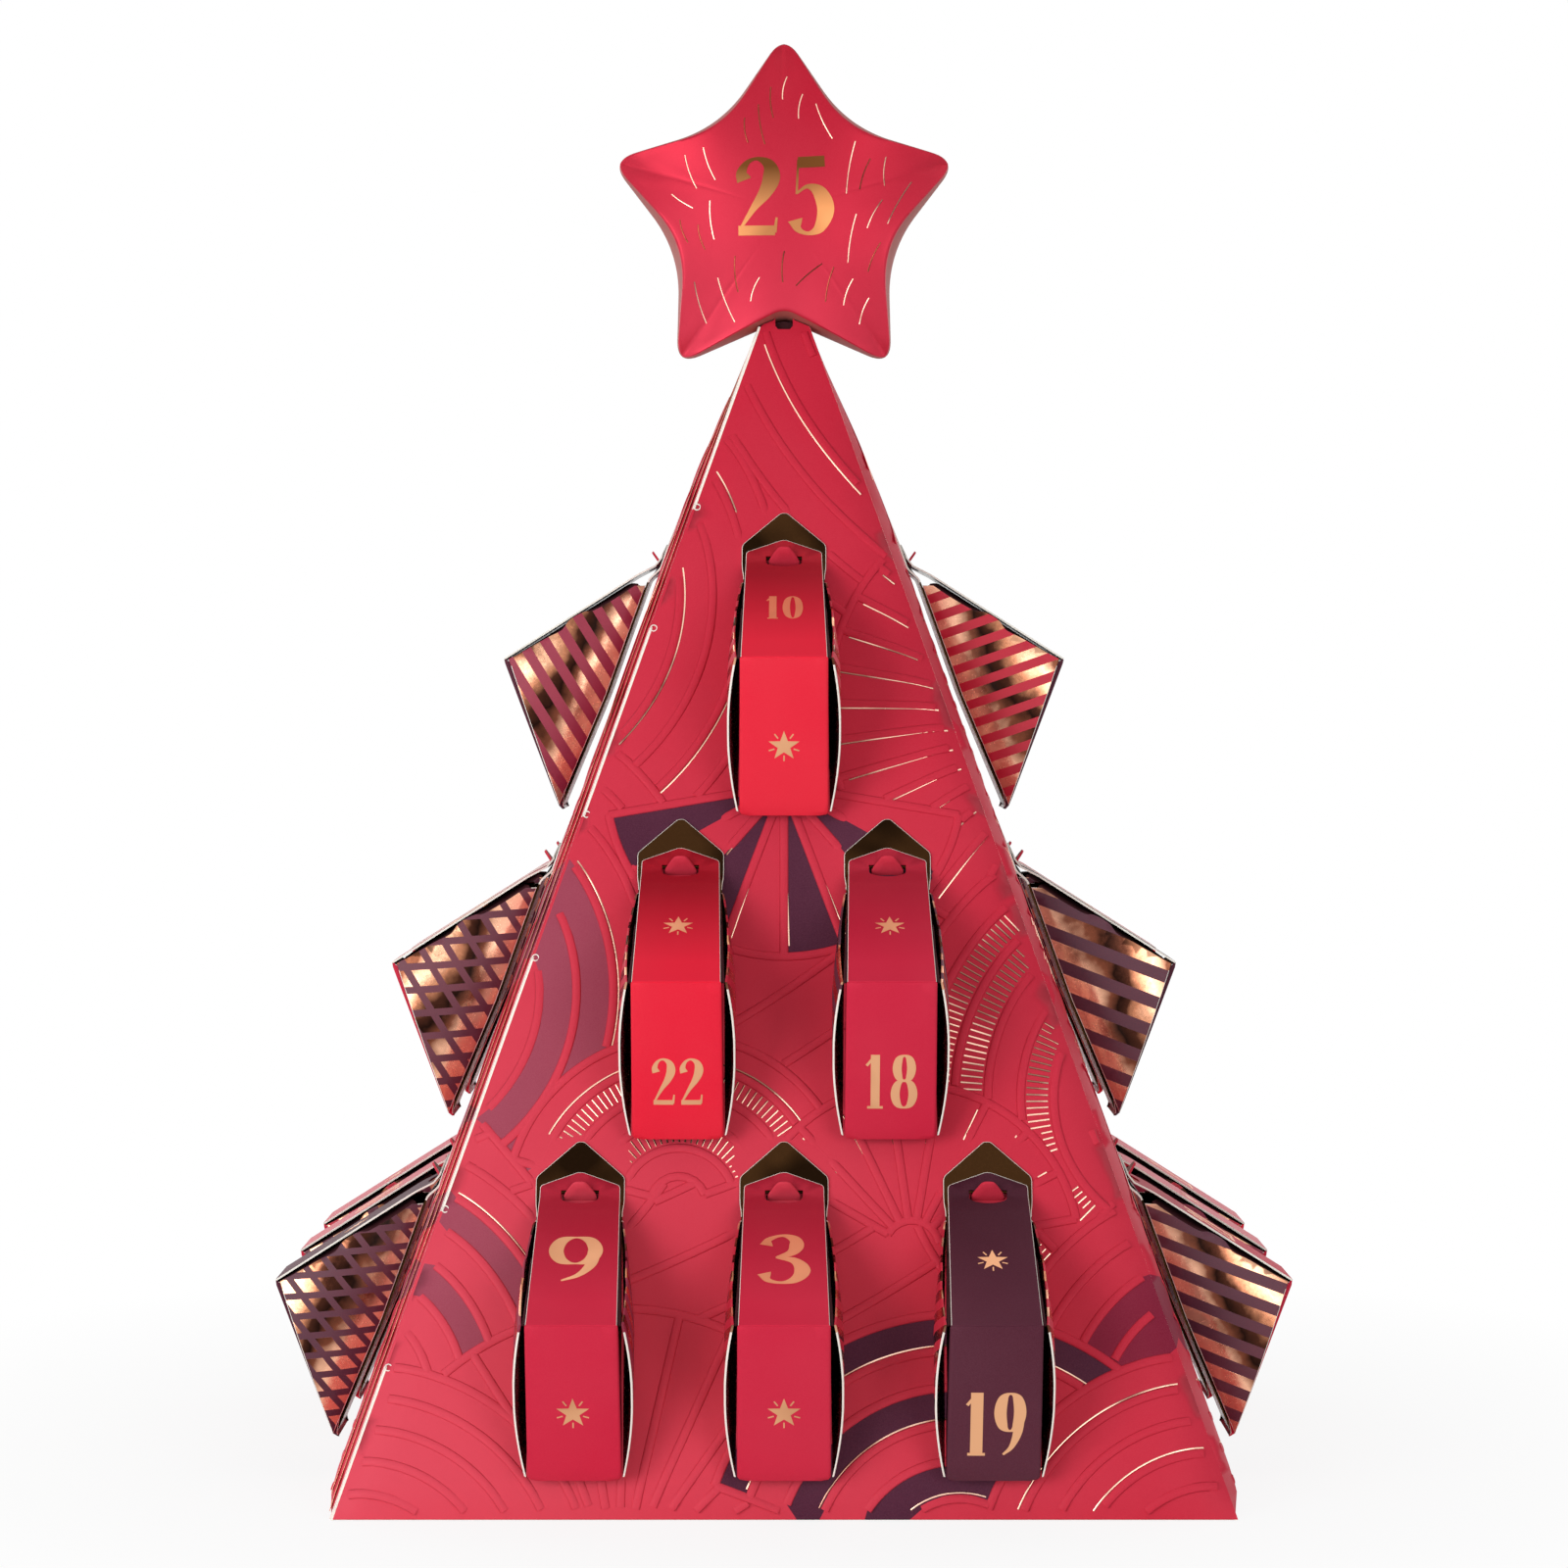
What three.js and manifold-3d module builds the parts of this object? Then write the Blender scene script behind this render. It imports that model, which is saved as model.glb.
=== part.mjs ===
// Advent calendar: a card pyramid with four bulged walls, 24 hanging boxes and a star box on top.
// Millimetres, +Z up. The origin is the middle of the base, and the front faces -Y.
import * as THREE from 'three';
import { mergeVertices } from 'three/addons/utils/BufferGeometryUtils.js';
import Module from 'manifold-3d';

const wasm = await Module();
wasm.setup();

// Pyramid. A wall point is given by its distance across, its distance up the slope, and out of the wall.
const baseWidth = 320;
const apexHeight = 462; // where the four wall planes would meet
const topCut = 25; // the walls end this far below that point
const wallThickness = 1.2;
const wallRise = 4.2; // how far the bulged middle of a wall stands out of the plane of its edges
const wallRim = 15; // width of the rounded margin round the bulge
const wallRimKnee = 5; // the margin is steep up to here
const wallRimKneeRise = 2.7;
const cornerGap = 0.3; // between neighbouring walls
const floorThickness = 1.5;
const floorGap = 0.3;

// Places of the boxes. The rows are one, two and three boxes wide.
const topCrease = 352; // up the slope to the lid crease of the top row
const rowPitch = 122;
const middleRowSpacing = 76.5;
const lowerRowSpacing = 73.4;

// Box profile, measured from the lid crease down the slope, and out of the bulged wall.
const boardThickness = 0.8;
const creaseOut = 8.8;
const foldDrop = 48;
const foldOut = 47.1;
const bottomDrop = 96.5;
const bottomOut = 6.8;
const backOut = 3.2;
const backBow = 1.2; // the back bows towards the wall
const bottomHalfWidth = 16.7;
const foldHalfWidth = 16.2;
const creaseHalfWidth = 15.4;
const frontBow = 3.3; // how far the sides bow out along the lower front edge
const topBow = 1.8;
const backSideBow = 0.8;
const middleHalfWidth = 20.4; // at the middle of a side
const middleShare = 0.36; // how far towards the fold line the middle of a side lies
const lidFoldHalfWidth = 15.7;
const lidCreaseHalfWidth = 14.5;
const hingeGap = 1.3; // from the fold line to the edge of the lower front panel

// Hanging flaps: a long pointed one on the tray and a short one on the lid in front of it.
const seatGap = 0.3;
const flapHalfWidth = 16;
const flapBend = 5; // the tray's flap lies along the wall from here up
const flapShoulder = 13.5;
const flapPoint = 26.5;
const pointHalfWidth = 1.8;
const pointRound = 0.7;
const lidFlapAngle = THREE.MathUtils.degToRad(44); // to the wall
const lidFlapHalfWidth = 14.4;
const lidFlapShoulder = 3.7; // past the lid flap's own bend
const lidFlapPoint = 8.5;

// Hooks: tongues cut out of the wall and bent up and out through the holes of both flaps.
const hookRoot = 5.1; // above the lid crease
const hookLean = THREE.MathUtils.degToRad(54); // to the wall
const hookLength = 9.5;
const hookHalfWidth = 6;
const hookNeck = 2.7; // full width up to here
const hookTipHalfWidth = 2.6;
const hookTipRound = 0.9;
const hookRootOverlap = 0.9;
const windowGap = 0.3;
const holeSideGap = 0.8;
const holeFrontGap = 1.1;
const holeCornerShare = 0.6; // the lid's hole has an arched lower edge up to here
const lidHoleStart = 4.3; // from the lid crease along the lid's flap

// Star box: a cushion that is deep at its notches and thin at its tips, in a front and a back half.
const starTipRadius = 71.5; // to the corner that the rounding takes off
const starNotchRadius = 0.6 * starTipRadius;
const starFootRadius = 0.5525 * starTipRadius; // to the lowest notch, which stands on the pyramid
const starTipRoundShare = 0.2; // the roundings take these shares of an edge
const starNotchRoundShare = 0.31;
const starFootRoundShare = 0.11;
const starCornerShare = 0.4;
const starDepth = 34; // over the edges at a notch
const starTipDepth = 4.4;
const starFaceBulge = 4;
const starWaistDepth = 3; // how far inside the middle outline a face's edge lies at a notch
const starSideMiddle = 0.55; // the side bends at this share of its depth
const starSideInset = 0.35; // and has moved in by this share of the waist there
const starCrown = 0.55; // the face is steep outside this share of the star
const starCrownRise = 0.8; // and has risen this share of its bulge there
const starEdgeShares = [0.35, 0.65]; // points along each edge, between a tip and a notch
const starThickness = 1;
const starLidGap = 0.3;
const starTabWidth = 14;
const starTabReach = 5; // into the front half
const starTabRoot = 9; // into the back half
const stemGap = 0.9; // to the inner faces of the walls at their upper edge
const stemLength = 30;
const peephole = 7.3; // width of the hole in the front wall under the star
const peepholeDepth = 5;
const chocolateRadius = 27;
const chocolateDepth = 16;
const chocolateEdge = 3;
const chocolateSides = 24;

const slope = Math.atan2(baseWidth / 2, apexHeight);
const sinSlope = Math.sin(slope);
const cosSlope = Math.cos(slope);
const wallTopHeight = apexHeight - topCut;

const redCard = new THREE.MeshStandardMaterial({ color: 0xc8203c, roughness: 0.6, metalness: 0 });
const crimsonBoard = new THREE.MeshStandardMaterial({ color: 0xb81230, roughness: 0.5, metalness: 0 });
const plumBoard = new THREE.MeshStandardMaterial({ color: 0x4a1c33, roughness: 0.5, metalness: 0 });
const roseFoil = new THREE.MeshStandardMaterial({ color: 0xc98d74, roughness: 0.25, metalness: 1 });
const greyBoard = new THREE.MeshStandardMaterial({ color: 0xb9b0a4, roughness: 0.9, metalness: 0 });
const chocolate = new THREE.MeshStandardMaterial({ color: 0x3a1d10, roughness: 0.45, metalness: 0 });

function toSolid(geometry) {
  const bare = new THREE.BufferGeometry();
  bare.setAttribute('position', geometry.getAttribute('position').clone());
  if (geometry.index) bare.setIndex(geometry.index.clone());
  const merged = mergeVertices(bare, 1e-5);
  return new wasm.Manifold(new wasm.Mesh({
    numProp: 3,
    vertProperties: new Float32Array(merged.getAttribute('position').array),
    triVerts: new Uint32Array(merged.index.array),
  }));
}

function toGeometry(solid) {
  const mesh = solid.getMesh();
  const geometry = new THREE.BufferGeometry();
  geometry.setAttribute('position', new THREE.BufferAttribute(new Float32Array(mesh.vertProperties), 3));
  geometry.setIndex(new THREE.BufferAttribute(new Uint32Array(mesh.triVerts), 1));
  return geometry;
}

function node(name, solid, material) {
  const mesh = new THREE.Mesh(toGeometry(solid), material);
  mesh.name = name;
  return mesh;
}

// A prism of a flat outline [[x, y], ...] between two heights along z.
function prism(outline, low, high) {
  const shape = new THREE.Shape(outline.map(([x, y]) => new THREE.Vector2(x, y)));
  const geometry = new THREE.ExtrudeGeometry(shape, { depth: high - low, bevelEnabled: false });
  geometry.translate(0, 0, low);
  return geometry;
}

// A solid from closed rings of equal length: the first and last ring are closed by fans to a point.
function ringSolid(startPoint, rings, endPoint) {
  const vertices = [startPoint, ...rings.flat(), endPoint];
  const count = rings[0].length;
  const last = vertices.length - 1;
  const faces = [];
  for (let i = 0; i < count; i += 1) {
    const next = (i + 1) % count;
    faces.push(0, 1 + next, 1 + i);
    for (let ring = 0; ring < rings.length - 1; ring += 1) {
      const low = 1 + ring * count;
      const high = low + count;
      faces.push(low + i, low + next, high + next, low + i, high + next, high + i);
    }
    const top = 1 + (rings.length - 1) * count;
    faces.push(top + i, top + next, last);
  }
  const geometry = new THREE.BufferGeometry();
  geometry.setAttribute('position', new THREE.BufferAttribute(new Float32Array(vertices.flat()), 3));
  geometry.setIndex(faces);
  return toSolid(geometry);
}

function halfWidthAt(up, out) {
  return baseWidth / 2 - up * sinSlope + out * cosSlope - cornerGap;
}

function upAtHeight(height, out) {
  return (height - out * sinSlope) / cosSlope;
}

// Four corners of a wall ring, inset from the wall's outline, at a distance out of the plane of its edges.
function wallRing(inset, out, depth) {
  const low = upAtHeight(0, depth) + inset;
  const high = upAtHeight(wallTopHeight, depth) - inset;
  const lowHalf = halfWidthAt(low, depth) - inset;
  const highHalf = Math.max(halfWidthAt(high, depth) - inset, 1);
  return [[-lowHalf, low, out], [lowHalf, low, out], [highHalf, high, out], [-highHalf, high, out]];
}

function wallPlate() {
  const back = -wallThickness;
  const knee = wallRimKneeRise;
  const middle = (upAtHeight(wallTopHeight, 0) - wallRim) / 2;
  const rings = [
    wallRing(wallRim, wallRise + back, back),
    wallRing(wallRimKnee, knee + back, back),
    wallRing(0, back, back),
    wallRing(0, 0, 0),
    wallRing(wallRimKnee, knee, 0),
    wallRing(wallRim, wallRise, 0),
  ];
  return ringSolid([0, middle, wallRise + back], rings, [0, middle, wallRise]);
}

function hookOutline(gap, start) {
  const wide = hookHalfWidth + gap;
  const tip = hookTipHalfWidth + gap;
  const top = hookLength + gap;
  const round = hookTipRound + gap;
  return [
    [-wide, start], [wide, start], [wide, hookNeck], [tip, top - round],
    [tip / 2, top], [-tip / 2, top], [-tip, top - round], [-wide, hookNeck],
  ];
}

function hookTongue() {
  const geometry = prism(hookOutline(0, -hookRootOverlap), -wallThickness, 0);
  geometry.rotateX(hookLean);
  return toSolid(geometry);
}

function hookWindow() {
  return toSolid(prism(hookOutline(windowGap, 0), -2 * wallThickness, wallThickness));
}

// Where the boxes hang on a wall: [across, up the slope to the lid crease].
function boxPlaces() {
  const places = [[0, topCrease]];
  for (const side of [-1, 1]) places.push([side * middleRowSpacing / 2, topCrease - rowPitch]);
  for (const side of [-1, 0, 1]) places.push([side * lowerRowSpacing, topCrease - 2 * rowPitch]);
  return places;
}

function wallFrame(turn) {
  const frame = new THREE.Matrix4().makeRotationZ(turn);
  frame.multiply(new THREE.Matrix4().makeTranslation(0, -baseWidth / 2, 0));
  const across = new THREE.Vector3(1, 0, 0);
  const up = new THREE.Vector3(0, sinSlope, cosSlope);
  const out = new THREE.Vector3(0, -cosSlope, sinSlope);
  return frame.multiply(new THREE.Matrix4().makeBasis(across, up, out));
}

// The star's middle outline with rounded tips and notches, shrunk by a distance on every side.
// Each point is [across, up, fullness], where fullness is 0 at a tip and 1 at a notch.
const notchAngle = Math.PI / 5;

const starFoot = 5; // its place in the ring of tips and notches

function starCorners(shrink) {
  const corners = [];
  for (let i = 0; i < 10; i += 1) {
    const angle = Math.PI / 2 + i * notchAngle;
    const notch = i === starFoot ? starFootRadius : starNotchRadius;
    const radius = i % 2 ? notch : starTipRadius;
    corners.push([radius * Math.cos(angle), radius * Math.sin(angle)]);
  }
  const inward = corners.map(([x, z], i) => {
    const [nextX, nextZ] = corners[(i + 1) % 10];
    const length = Math.hypot(nextX - x, nextZ - z);
    return [(z - nextZ) / length, (nextX - x) / length];
  });
  return corners.map(([x, z], i) => {
    const [a, b] = [inward[(i + 9) % 10], inward[i]];
    const step = shrink / (1 + a[0] * b[0] + a[1] * b[1]);
    return [x + (a[0] + b[0]) * step, z + (a[1] + b[1]) * step];
  });
}

function starOutline(shrink) {
  const corners = starCorners(shrink);
  const outline = [];
  corners.forEach((corner, i) => {
    const notchRound = i === starFoot ? starFootRoundShare : starNotchRoundShare;
    const round = i % 2 ? notchRound : starTipRoundShare;
    const next = corners[(i + 1) % 10];
    const [before, after] = [corners[(i + 9) % 10], next].map((neighbour) => lerp(corner, neighbour, round));
    const middle = lerp(lerp(before, after, 0.5), corner, starCornerShare);
    const shares = i % 2 ? [...starEdgeShares].reverse() : starEdgeShares;
    outline.push([...before, i % 2 ? 1 - round : round]);
    outline.push([...middle, i % 2]);
    outline.push([...after, i % 2 ? 1 - round : round]);
    for (const share of shares) outline.push([...lerp(corner, next, i % 2 ? 1 - share : share), share]);
  });
  return outline.map(([x, z, share]) => [x, z, Math.sin(share * Math.PI / 2)]);
}

// The star stands astride the top of the pyramid: its lower notch comes down to the wall tops.
const starCentre = wallTopHeight + starFootRadius;

// The star's outline with a seat gap round it, as a wedge that trims what stands under its lower notch.
function starSeatTrim() {
  const outline = starOutline(-seatGap).map(([x, z]) => [x, z + starCentre]);
  const geometry = prism(outline, -starDepth, starDepth);
  geometry.rotateX(Math.PI / 2);
  return geometry;
}

function wallSolid(turn, isFront) {
  const seat = starSeatTrim().applyMatrix4(wallFrame(turn).invert());
  let wall = wallPlate().subtract(toSolid(seat));
  for (const [across, crease] of boxPlaces()) {
    const root = [across, crease + hookRoot, wallRise];
    wall = wall.subtract(hookWindow().translate(root));
    wall = wall.add(hookTongue().translate(root));
  }
  if (isFront) {
    const top = upAtHeight(wallTopHeight, 0);
    const half = peephole / 2;
    const corner = half / 3;
    const low = top - peepholeDepth;
    const outline = [
      [-half, top + 1], [-half, low + corner], [corner - half, low],
      [half - corner, low], [half, low + corner], [half, top + 1],
    ];
    wall = wall.subtract(toSolid(prism(outline, -2 * wallThickness, 2 * wallRise)));
  }
  return wall;
}

function floorSolid() {
  const half = baseWidth / 2 - floorThickness * sinSlope / cosSlope - wallThickness / cosSlope - floorGap;
  return toSolid(prism([[-half, -half], [half, -half], [half, half], [-half, half]], 0, floorThickness));
}

function lerp(a, b, share) {
  return a.map((value, i) => value + (b[i] - value) * share);
}

function offsetLine(from, to, distance) {
  const along = new THREE.Vector2(to[0] - from[0], to[1] - from[1]).normalize();
  const shift = [-along.y * distance, along.x * distance];
  return [[from[0] + shift[0], from[1] + shift[1]], [to[0] + shift[0], to[1] + shift[1]]];
}

function meetLines([a, b], [c, d]) {
  const run = [b[0] - a[0], b[1] - a[1]];
  const other = [d[0] - c[0], d[1] - c[1]];
  const cross = run[0] * other[1] - run[1] * other[0];
  const share = ((c[0] - a[0]) * other[1] - (c[1] - a[1]) * other[0]) / cross;
  return lerp(a, b, share);
}

// Corners of the box profile as [up from the crease, out of the wall].
const foldLine = [-foldDrop, foldOut];
const bottomLine = [-bottomDrop, bottomOut];
const backTop = [0, backOut];
const backMiddle = [-bottomDrop / 2, (backOut + bottomOut) / 2 - backBow];
const frontLength = Math.hypot(foldLine[0] - bottomLine[0], foldLine[1] - bottomLine[1]);
const frontTop = lerp(foldLine, bottomLine, hingeGap / frontLength);

// The wedge of a tray. Each profile point has the half width of the tray there.
function wedge(top, middle, bottom, front, shrink) {
  const sideBow = (base, bow) => base + bow - shrink;
  const thirds = [1 / 3, 2 / 3];
  const profile = [
    [...top, sideBow(creaseHalfWidth, 0)],
    [...middle, sideBow(lerp([creaseHalfWidth], [bottomHalfWidth], 0.5)[0], backSideBow)],
    [...bottom, sideBow(bottomHalfWidth, 0)],
    ...thirds.map((share) => [
      ...lerp(bottom, front, share),
      sideBow(lerp([bottomHalfWidth], [foldHalfWidth], share)[0], frontBow),
    ]),
    [...front, sideBow(foldHalfWidth, 0)],
    [...lerp(front, top, 0.5), sideBow(lerp([foldHalfWidth], [creaseHalfWidth], 0.5)[0], topBow)],
  ];
  const centre = lerp(lerp(top, bottom, 0.5), front, middleShare);
  const half = middleHalfWidth - shrink;
  const ring = (side) => profile.map(([up, out, width]) => [side * width, up, out]);
  return ringSolid([half, ...centre], [ring(1), ring(-1)], [-half, ...centre]);
}

function trayBody() {
  const outer = wedge(backTop, backMiddle, bottomLine, frontTop, 0);
  const innerUpperBack = offsetLine(backMiddle, backTop, boardThickness);
  const innerLowerBack = offsetLine(bottomLine, backMiddle, boardThickness);
  const innerFront = offsetLine(frontTop, bottomLine, boardThickness);
  const mouth = offsetLine(frontTop, backTop, 4 * boardThickness);
  const middle = meetLines(innerUpperBack, innerLowerBack);
  const bottom = meetLines(innerLowerBack, innerFront);
  const top = meetLines(mouth, innerUpperBack);
  const front = meetLines(mouth, innerFront);
  const inner = wedge(top, middle, bottom, front, boardThickness);
  return outer.subtract(inner);
}

// A bent plate along a path of [up, out, half width] stations, its thickness on the left of the path.
function bentPlate(path, thickness) {
  const points = path.map(([up, out]) => [up, out]);
  const offsets = points.slice(1).map((point, i) => offsetLine(points[i], point, thickness));
  const outer = points.map((point, i) => {
    if (i === 0) return offsets[0][0];
    if (i === points.length - 1) return offsets[i - 1][1];
    const straight = Math.abs(directionTurn(points[i - 1], point, points[i + 1])) < 1e-6;
    return straight ? offsets[i][0] : meetLines(offsets[i - 1], offsets[i]);
  });
  const rings = points.map((point, i) => {
    const half = path[i][2];
    return [[half, ...point], [-half, ...point], [-half, ...outer[i]], [half, ...outer[i]]];
  });
  const centreOf = (ring) => [0, (ring[0][1] + ring[2][1]) / 2, (ring[0][2] + ring[2][2]) / 2];
  return ringSolid(centreOf(rings[0]), rings, centreOf(rings[rings.length - 1]));
}

function directionTurn(a, b, c) {
  return (b[0] - a[0]) * (c[1] - b[1]) - (b[1] - a[1]) * (c[0] - b[0]);
}

// How far up the wall the tongue's upper face stands at a distance out of the wall.
function hookBackAt(out) {
  return hookRoot + wallThickness / Math.sin(hookLean) + out / Math.tan(hookLean);
}

function flapHole(start, end, roundStart) {
  const half = hookHalfWidth + holeSideGap;
  const shoulder = roundStart ? lerp([start], [end], holeCornerShare)[0] : start;
  const outline = [[-half, shoulder], [0, start], [half, shoulder], [half, end], [-half, end]];
  return toSolid(prism(roundStart ? outline : outline.filter(([x]) => x !== 0), -foldOut, foldOut));
}

function traySolid() {
  const tip = [
    [flapShoulder, seatGap, flapHalfWidth],
    [flapPoint - pointRound, seatGap, pointHalfWidth],
    [flapPoint, seatGap, pointHalfWidth / 3],
  ];
  const lowEnd = lerp(backTop, backMiddle, 2 * boardThickness / bottomDrop);
  const flap = bentPlate([
    [...lowEnd, creaseHalfWidth - boardThickness], [...backTop, creaseHalfWidth],
    [flapBend, seatGap, flapHalfWidth], ...tip,
  ], boardThickness);
  const holeEnd = hookBackAt(seatGap + boardThickness) + seatGap;
  const hole = flapHole(hookRoot - holeFrontGap, holeEnd, false);
  return trayBody().add(flap.subtract(hole));
}

function lidSolid() {
  const crease = [0, creaseOut];
  const [foldUnder, creaseUnder] = offsetLine(foldLine, crease, -boardThickness);
  const flapDirection = [Math.cos(lidFlapAngle), -Math.sin(lidFlapAngle)];
  const along = (distance) => [distance * flapDirection[0], creaseOut + distance * flapDirection[1]];
  const flapUnder = offsetLine(crease, along(1), -boardThickness);
  const lidUnder = meetLines([foldUnder, creaseUnder], flapUnder);
  const rest = 2 * seatGap + boardThickness;
  const bend = meetLines(flapUnder, [[0, rest], [1, rest]]);
  const plate = bentPlate([
    [...foldUnder, lidFoldHalfWidth], [...lidUnder, lidCreaseHalfWidth], [...bend, lidFlapHalfWidth],
    [bend[0] + lidFlapShoulder, rest, lidFlapHalfWidth],
    [bend[0] + lidFlapPoint - pointRound, rest, pointHalfWidth],
    [bend[0] + lidFlapPoint, rest, pointHalfWidth / 3],
  ], boardThickness);
  const holeEnd = hookBackAt(rest + boardThickness) + seatGap;
  return plate.subtract(flapHole(along(lidHoleStart)[0], holeEnd, true));
}

// Half of the star cushion, from a plane across it out to its crowned face, shrunk on every side.
// It faces the front where facing is -1, and the back where it is 1.
function starHalf(shrink, start, facing) {
  const tip = starTipDepth / 2;
  const face = starDepth / 2 + starFaceBulge - shrink;
  const edgeDepth = (fullness) => tip + (starDepth / 2 - tip) * fullness - shrink;
  const ring = (inset, depthAt, scale) => {
    const points = starOutline(shrink).map(([x, z, fullness]) => {
      const size = scale * (1 - inset * starWaistDepth * fullness / Math.hypot(x, z));
      return [x * size, facing * depthAt(edgeDepth(fullness)), starCentre + z * size];
    });
    return facing < 0 ? points : points.reverse();
  };
  return ringSolid([0, facing * start, starCentre], [
    ring(0, () => start, 1),
    ring(starSideInset, (edge) => starSideMiddle * edge, 1),
    ring(1, (edge) => edge, 1),
    ring(1, (edge) => edge + starCrownRise * (face - edge), starCrown),
  ], [0, facing * face, starCentre]);
}

function starFrontSolid() {
  return starHalf(0, 0, -1).subtract(starHalf(starThickness, -starThickness, -1));
}

// Radius of the outer face of a notch's tab, which clears the side of the front half as far in as it reaches.
function starTabRadius(turn) {
  const [across, up] = [Math.cos(turn), Math.sin(turn)];
  const isNear = ([x, z]) => x * across + z * up > Math.hypot(x, z) * Math.cos(notchAngle / 2);
  const inside = Math.min(...starOutline(starThickness).filter(isNear).map(([x, z]) => Math.hypot(x, z)));
  const bend = starSideMiddle * (starDepth / 2 - starThickness);
  return inside - starSideInset * starWaistDepth * starTabReach / bend - starLidGap;
}

function starBackSolid() {
  const shell = starHalf(0, starLidGap, 1).subtract(starHalf(starThickness, starLidGap - starThickness, 1));
  const half = starTabWidth / 2;
  return [1, 3, 5, 7, 9].reduce((solid, i) => {
    const turn = Math.PI / 2 + i * notchAngle;
    const outer = starTabRadius(turn);
    const inner = outer - starThickness;
    const outline = [[inner, -half], [outer, -half], [outer, half], [inner, half]];
    const tab = prism(outline, -starTabRoot, starTabReach);
    tab.rotateZ(turn);
    tab.rotateX(Math.PI / 2);
    tab.translate(0, 0, starCentre);
    return solid.add(toSolid(tab));
  }, shell);
}

// A square post under the star's notch, which stands in the open top of the pyramid.
function stemSolid() {
  const half = topCut * sinSlope / cosSlope - wallThickness / cosSlope - stemGap;
  const post = prism([[-half, -half], [half, -half], [half, half], [-half, half]], wallTopHeight - stemLength,
    wallTopHeight);
  return toSolid(post).subtract(toSolid(starSeatTrim()));
}

// A round medallion that stands on the lowest tab.
function chocolateSolid() {
  const half = chocolateDepth / 2;
  const profile = [
    [0, -half], [chocolateRadius - chocolateEdge, -half], [chocolateRadius, chocolateEdge - half],
    [chocolateRadius, half - chocolateEdge], [chocolateRadius - chocolateEdge, half], [0, half],
  ].map(([radius, y]) => new THREE.Vector2(radius, y));
  const geometry = new THREE.LatheGeometry(profile, chocolateSides);
  const standsOn = starThickness - starTabRadius(Math.PI / 2 + starFoot * notchAngle);
  geometry.translate(0, 0, starCentre + standsOn + seatGap + chocolateRadius);
  return toSolid(geometry);
}

const calendar = new THREE.Group();

const walls = [
  { name: 'wall_front', turn: 0, numbers: [10, 22, 18, 9, 3, 19] },
  { name: 'wall_right', turn: Math.PI / 2, numbers: [4, 15, 7, 21, 12, 1] },
  { name: 'wall_back', turn: Math.PI, numbers: [16, 2, 24, 13, 6, 20] },
  { name: 'wall_left', turn: -Math.PI / 2, numbers: [8, 11, 23, 5, 17, 14] },
];
const plumNumbers = [19, 4, 15, 16, 24, 8, 14];

const tray = traySolid();
const lid = lidSolid();
for (const { name, turn, numbers } of walls) {
  const side = new THREE.Group();
  side.applyMatrix4(wallFrame(turn));
  side.add(node(name, wallSolid(turn, name === 'wall_front'), redCard));
  boxPlaces().forEach(([across, crease], i) => {
    const box = new THREE.Group();
    box.position.set(across, crease, wallRise);
    const label = String(numbers[i]).padStart(2, '0');
    const board = plumNumbers.includes(numbers[i]) ? plumBoard : crimsonBoard;
    box.add(node(`tray_${label}`, tray, board));
    box.add(node(`lid_${label}`, lid, board));
    side.add(box);
  });
  calendar.add(side);
}

calendar.add(node('base_board', floorSolid(), greyBoard));
calendar.add(node('star_front_shell', starFrontSolid(), crimsonBoard));
calendar.add(node('star_back_shell', starBackSolid(), roseFoil));
calendar.add(node('star_stem', stemSolid(), greyBoard));
calendar.add(node('star_chocolate', chocolateSolid(), chocolate));

export default calendar;
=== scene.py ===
import math

import bmesh
import bpy
import numpy as np
from mathutils import Matrix, Vector
from mathutils.geometry import delaunay_2d_cdt


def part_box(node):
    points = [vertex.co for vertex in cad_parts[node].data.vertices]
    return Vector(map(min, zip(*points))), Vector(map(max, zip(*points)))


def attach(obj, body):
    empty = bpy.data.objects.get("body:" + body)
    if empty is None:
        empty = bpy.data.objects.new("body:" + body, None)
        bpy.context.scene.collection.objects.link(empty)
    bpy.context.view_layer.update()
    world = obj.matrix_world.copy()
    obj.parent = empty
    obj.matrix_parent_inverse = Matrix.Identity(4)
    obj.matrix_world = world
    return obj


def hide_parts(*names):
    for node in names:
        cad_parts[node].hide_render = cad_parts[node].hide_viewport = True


# Sizes are in millimetres until a mesh is made. A wall point is (across, up the slope, out of the wall).
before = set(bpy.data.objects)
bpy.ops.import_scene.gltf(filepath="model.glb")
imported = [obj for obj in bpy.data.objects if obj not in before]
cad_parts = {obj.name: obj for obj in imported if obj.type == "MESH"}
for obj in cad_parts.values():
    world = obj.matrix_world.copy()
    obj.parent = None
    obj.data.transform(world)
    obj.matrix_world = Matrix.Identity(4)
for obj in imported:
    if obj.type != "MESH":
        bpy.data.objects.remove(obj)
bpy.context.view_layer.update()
mm = 0.001

pyramid = {
    "base": 320.0,
    "apex": 462.0,
    "top": 437.0,
    "board": 1.2,
    "rise": 4.2,  # of the bulged middle of a wall
    "rim": 18.0,  # width of the rounded margin round it
    "narrow": (8, 26),  # half width at which a wall is flat, and over which it bulges in full
    "step": 7.0,
    "seam": 1.0,  # dark gap beside the cut edge at the front left corner
    "notch": [(3.4, 0), (3.4, -3.4), (2.3, -4.8), (-2.3, -4.8), (-3.4, -3.4), (-3.4, 0)],
}
slope = math.atan2(pyramid["base"] / 2, pyramid["apex"])
sinSlope, cosSlope = math.sin(slope), math.cos(slope)
upperEdge = pyramid["top"] / cosSlope

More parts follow.
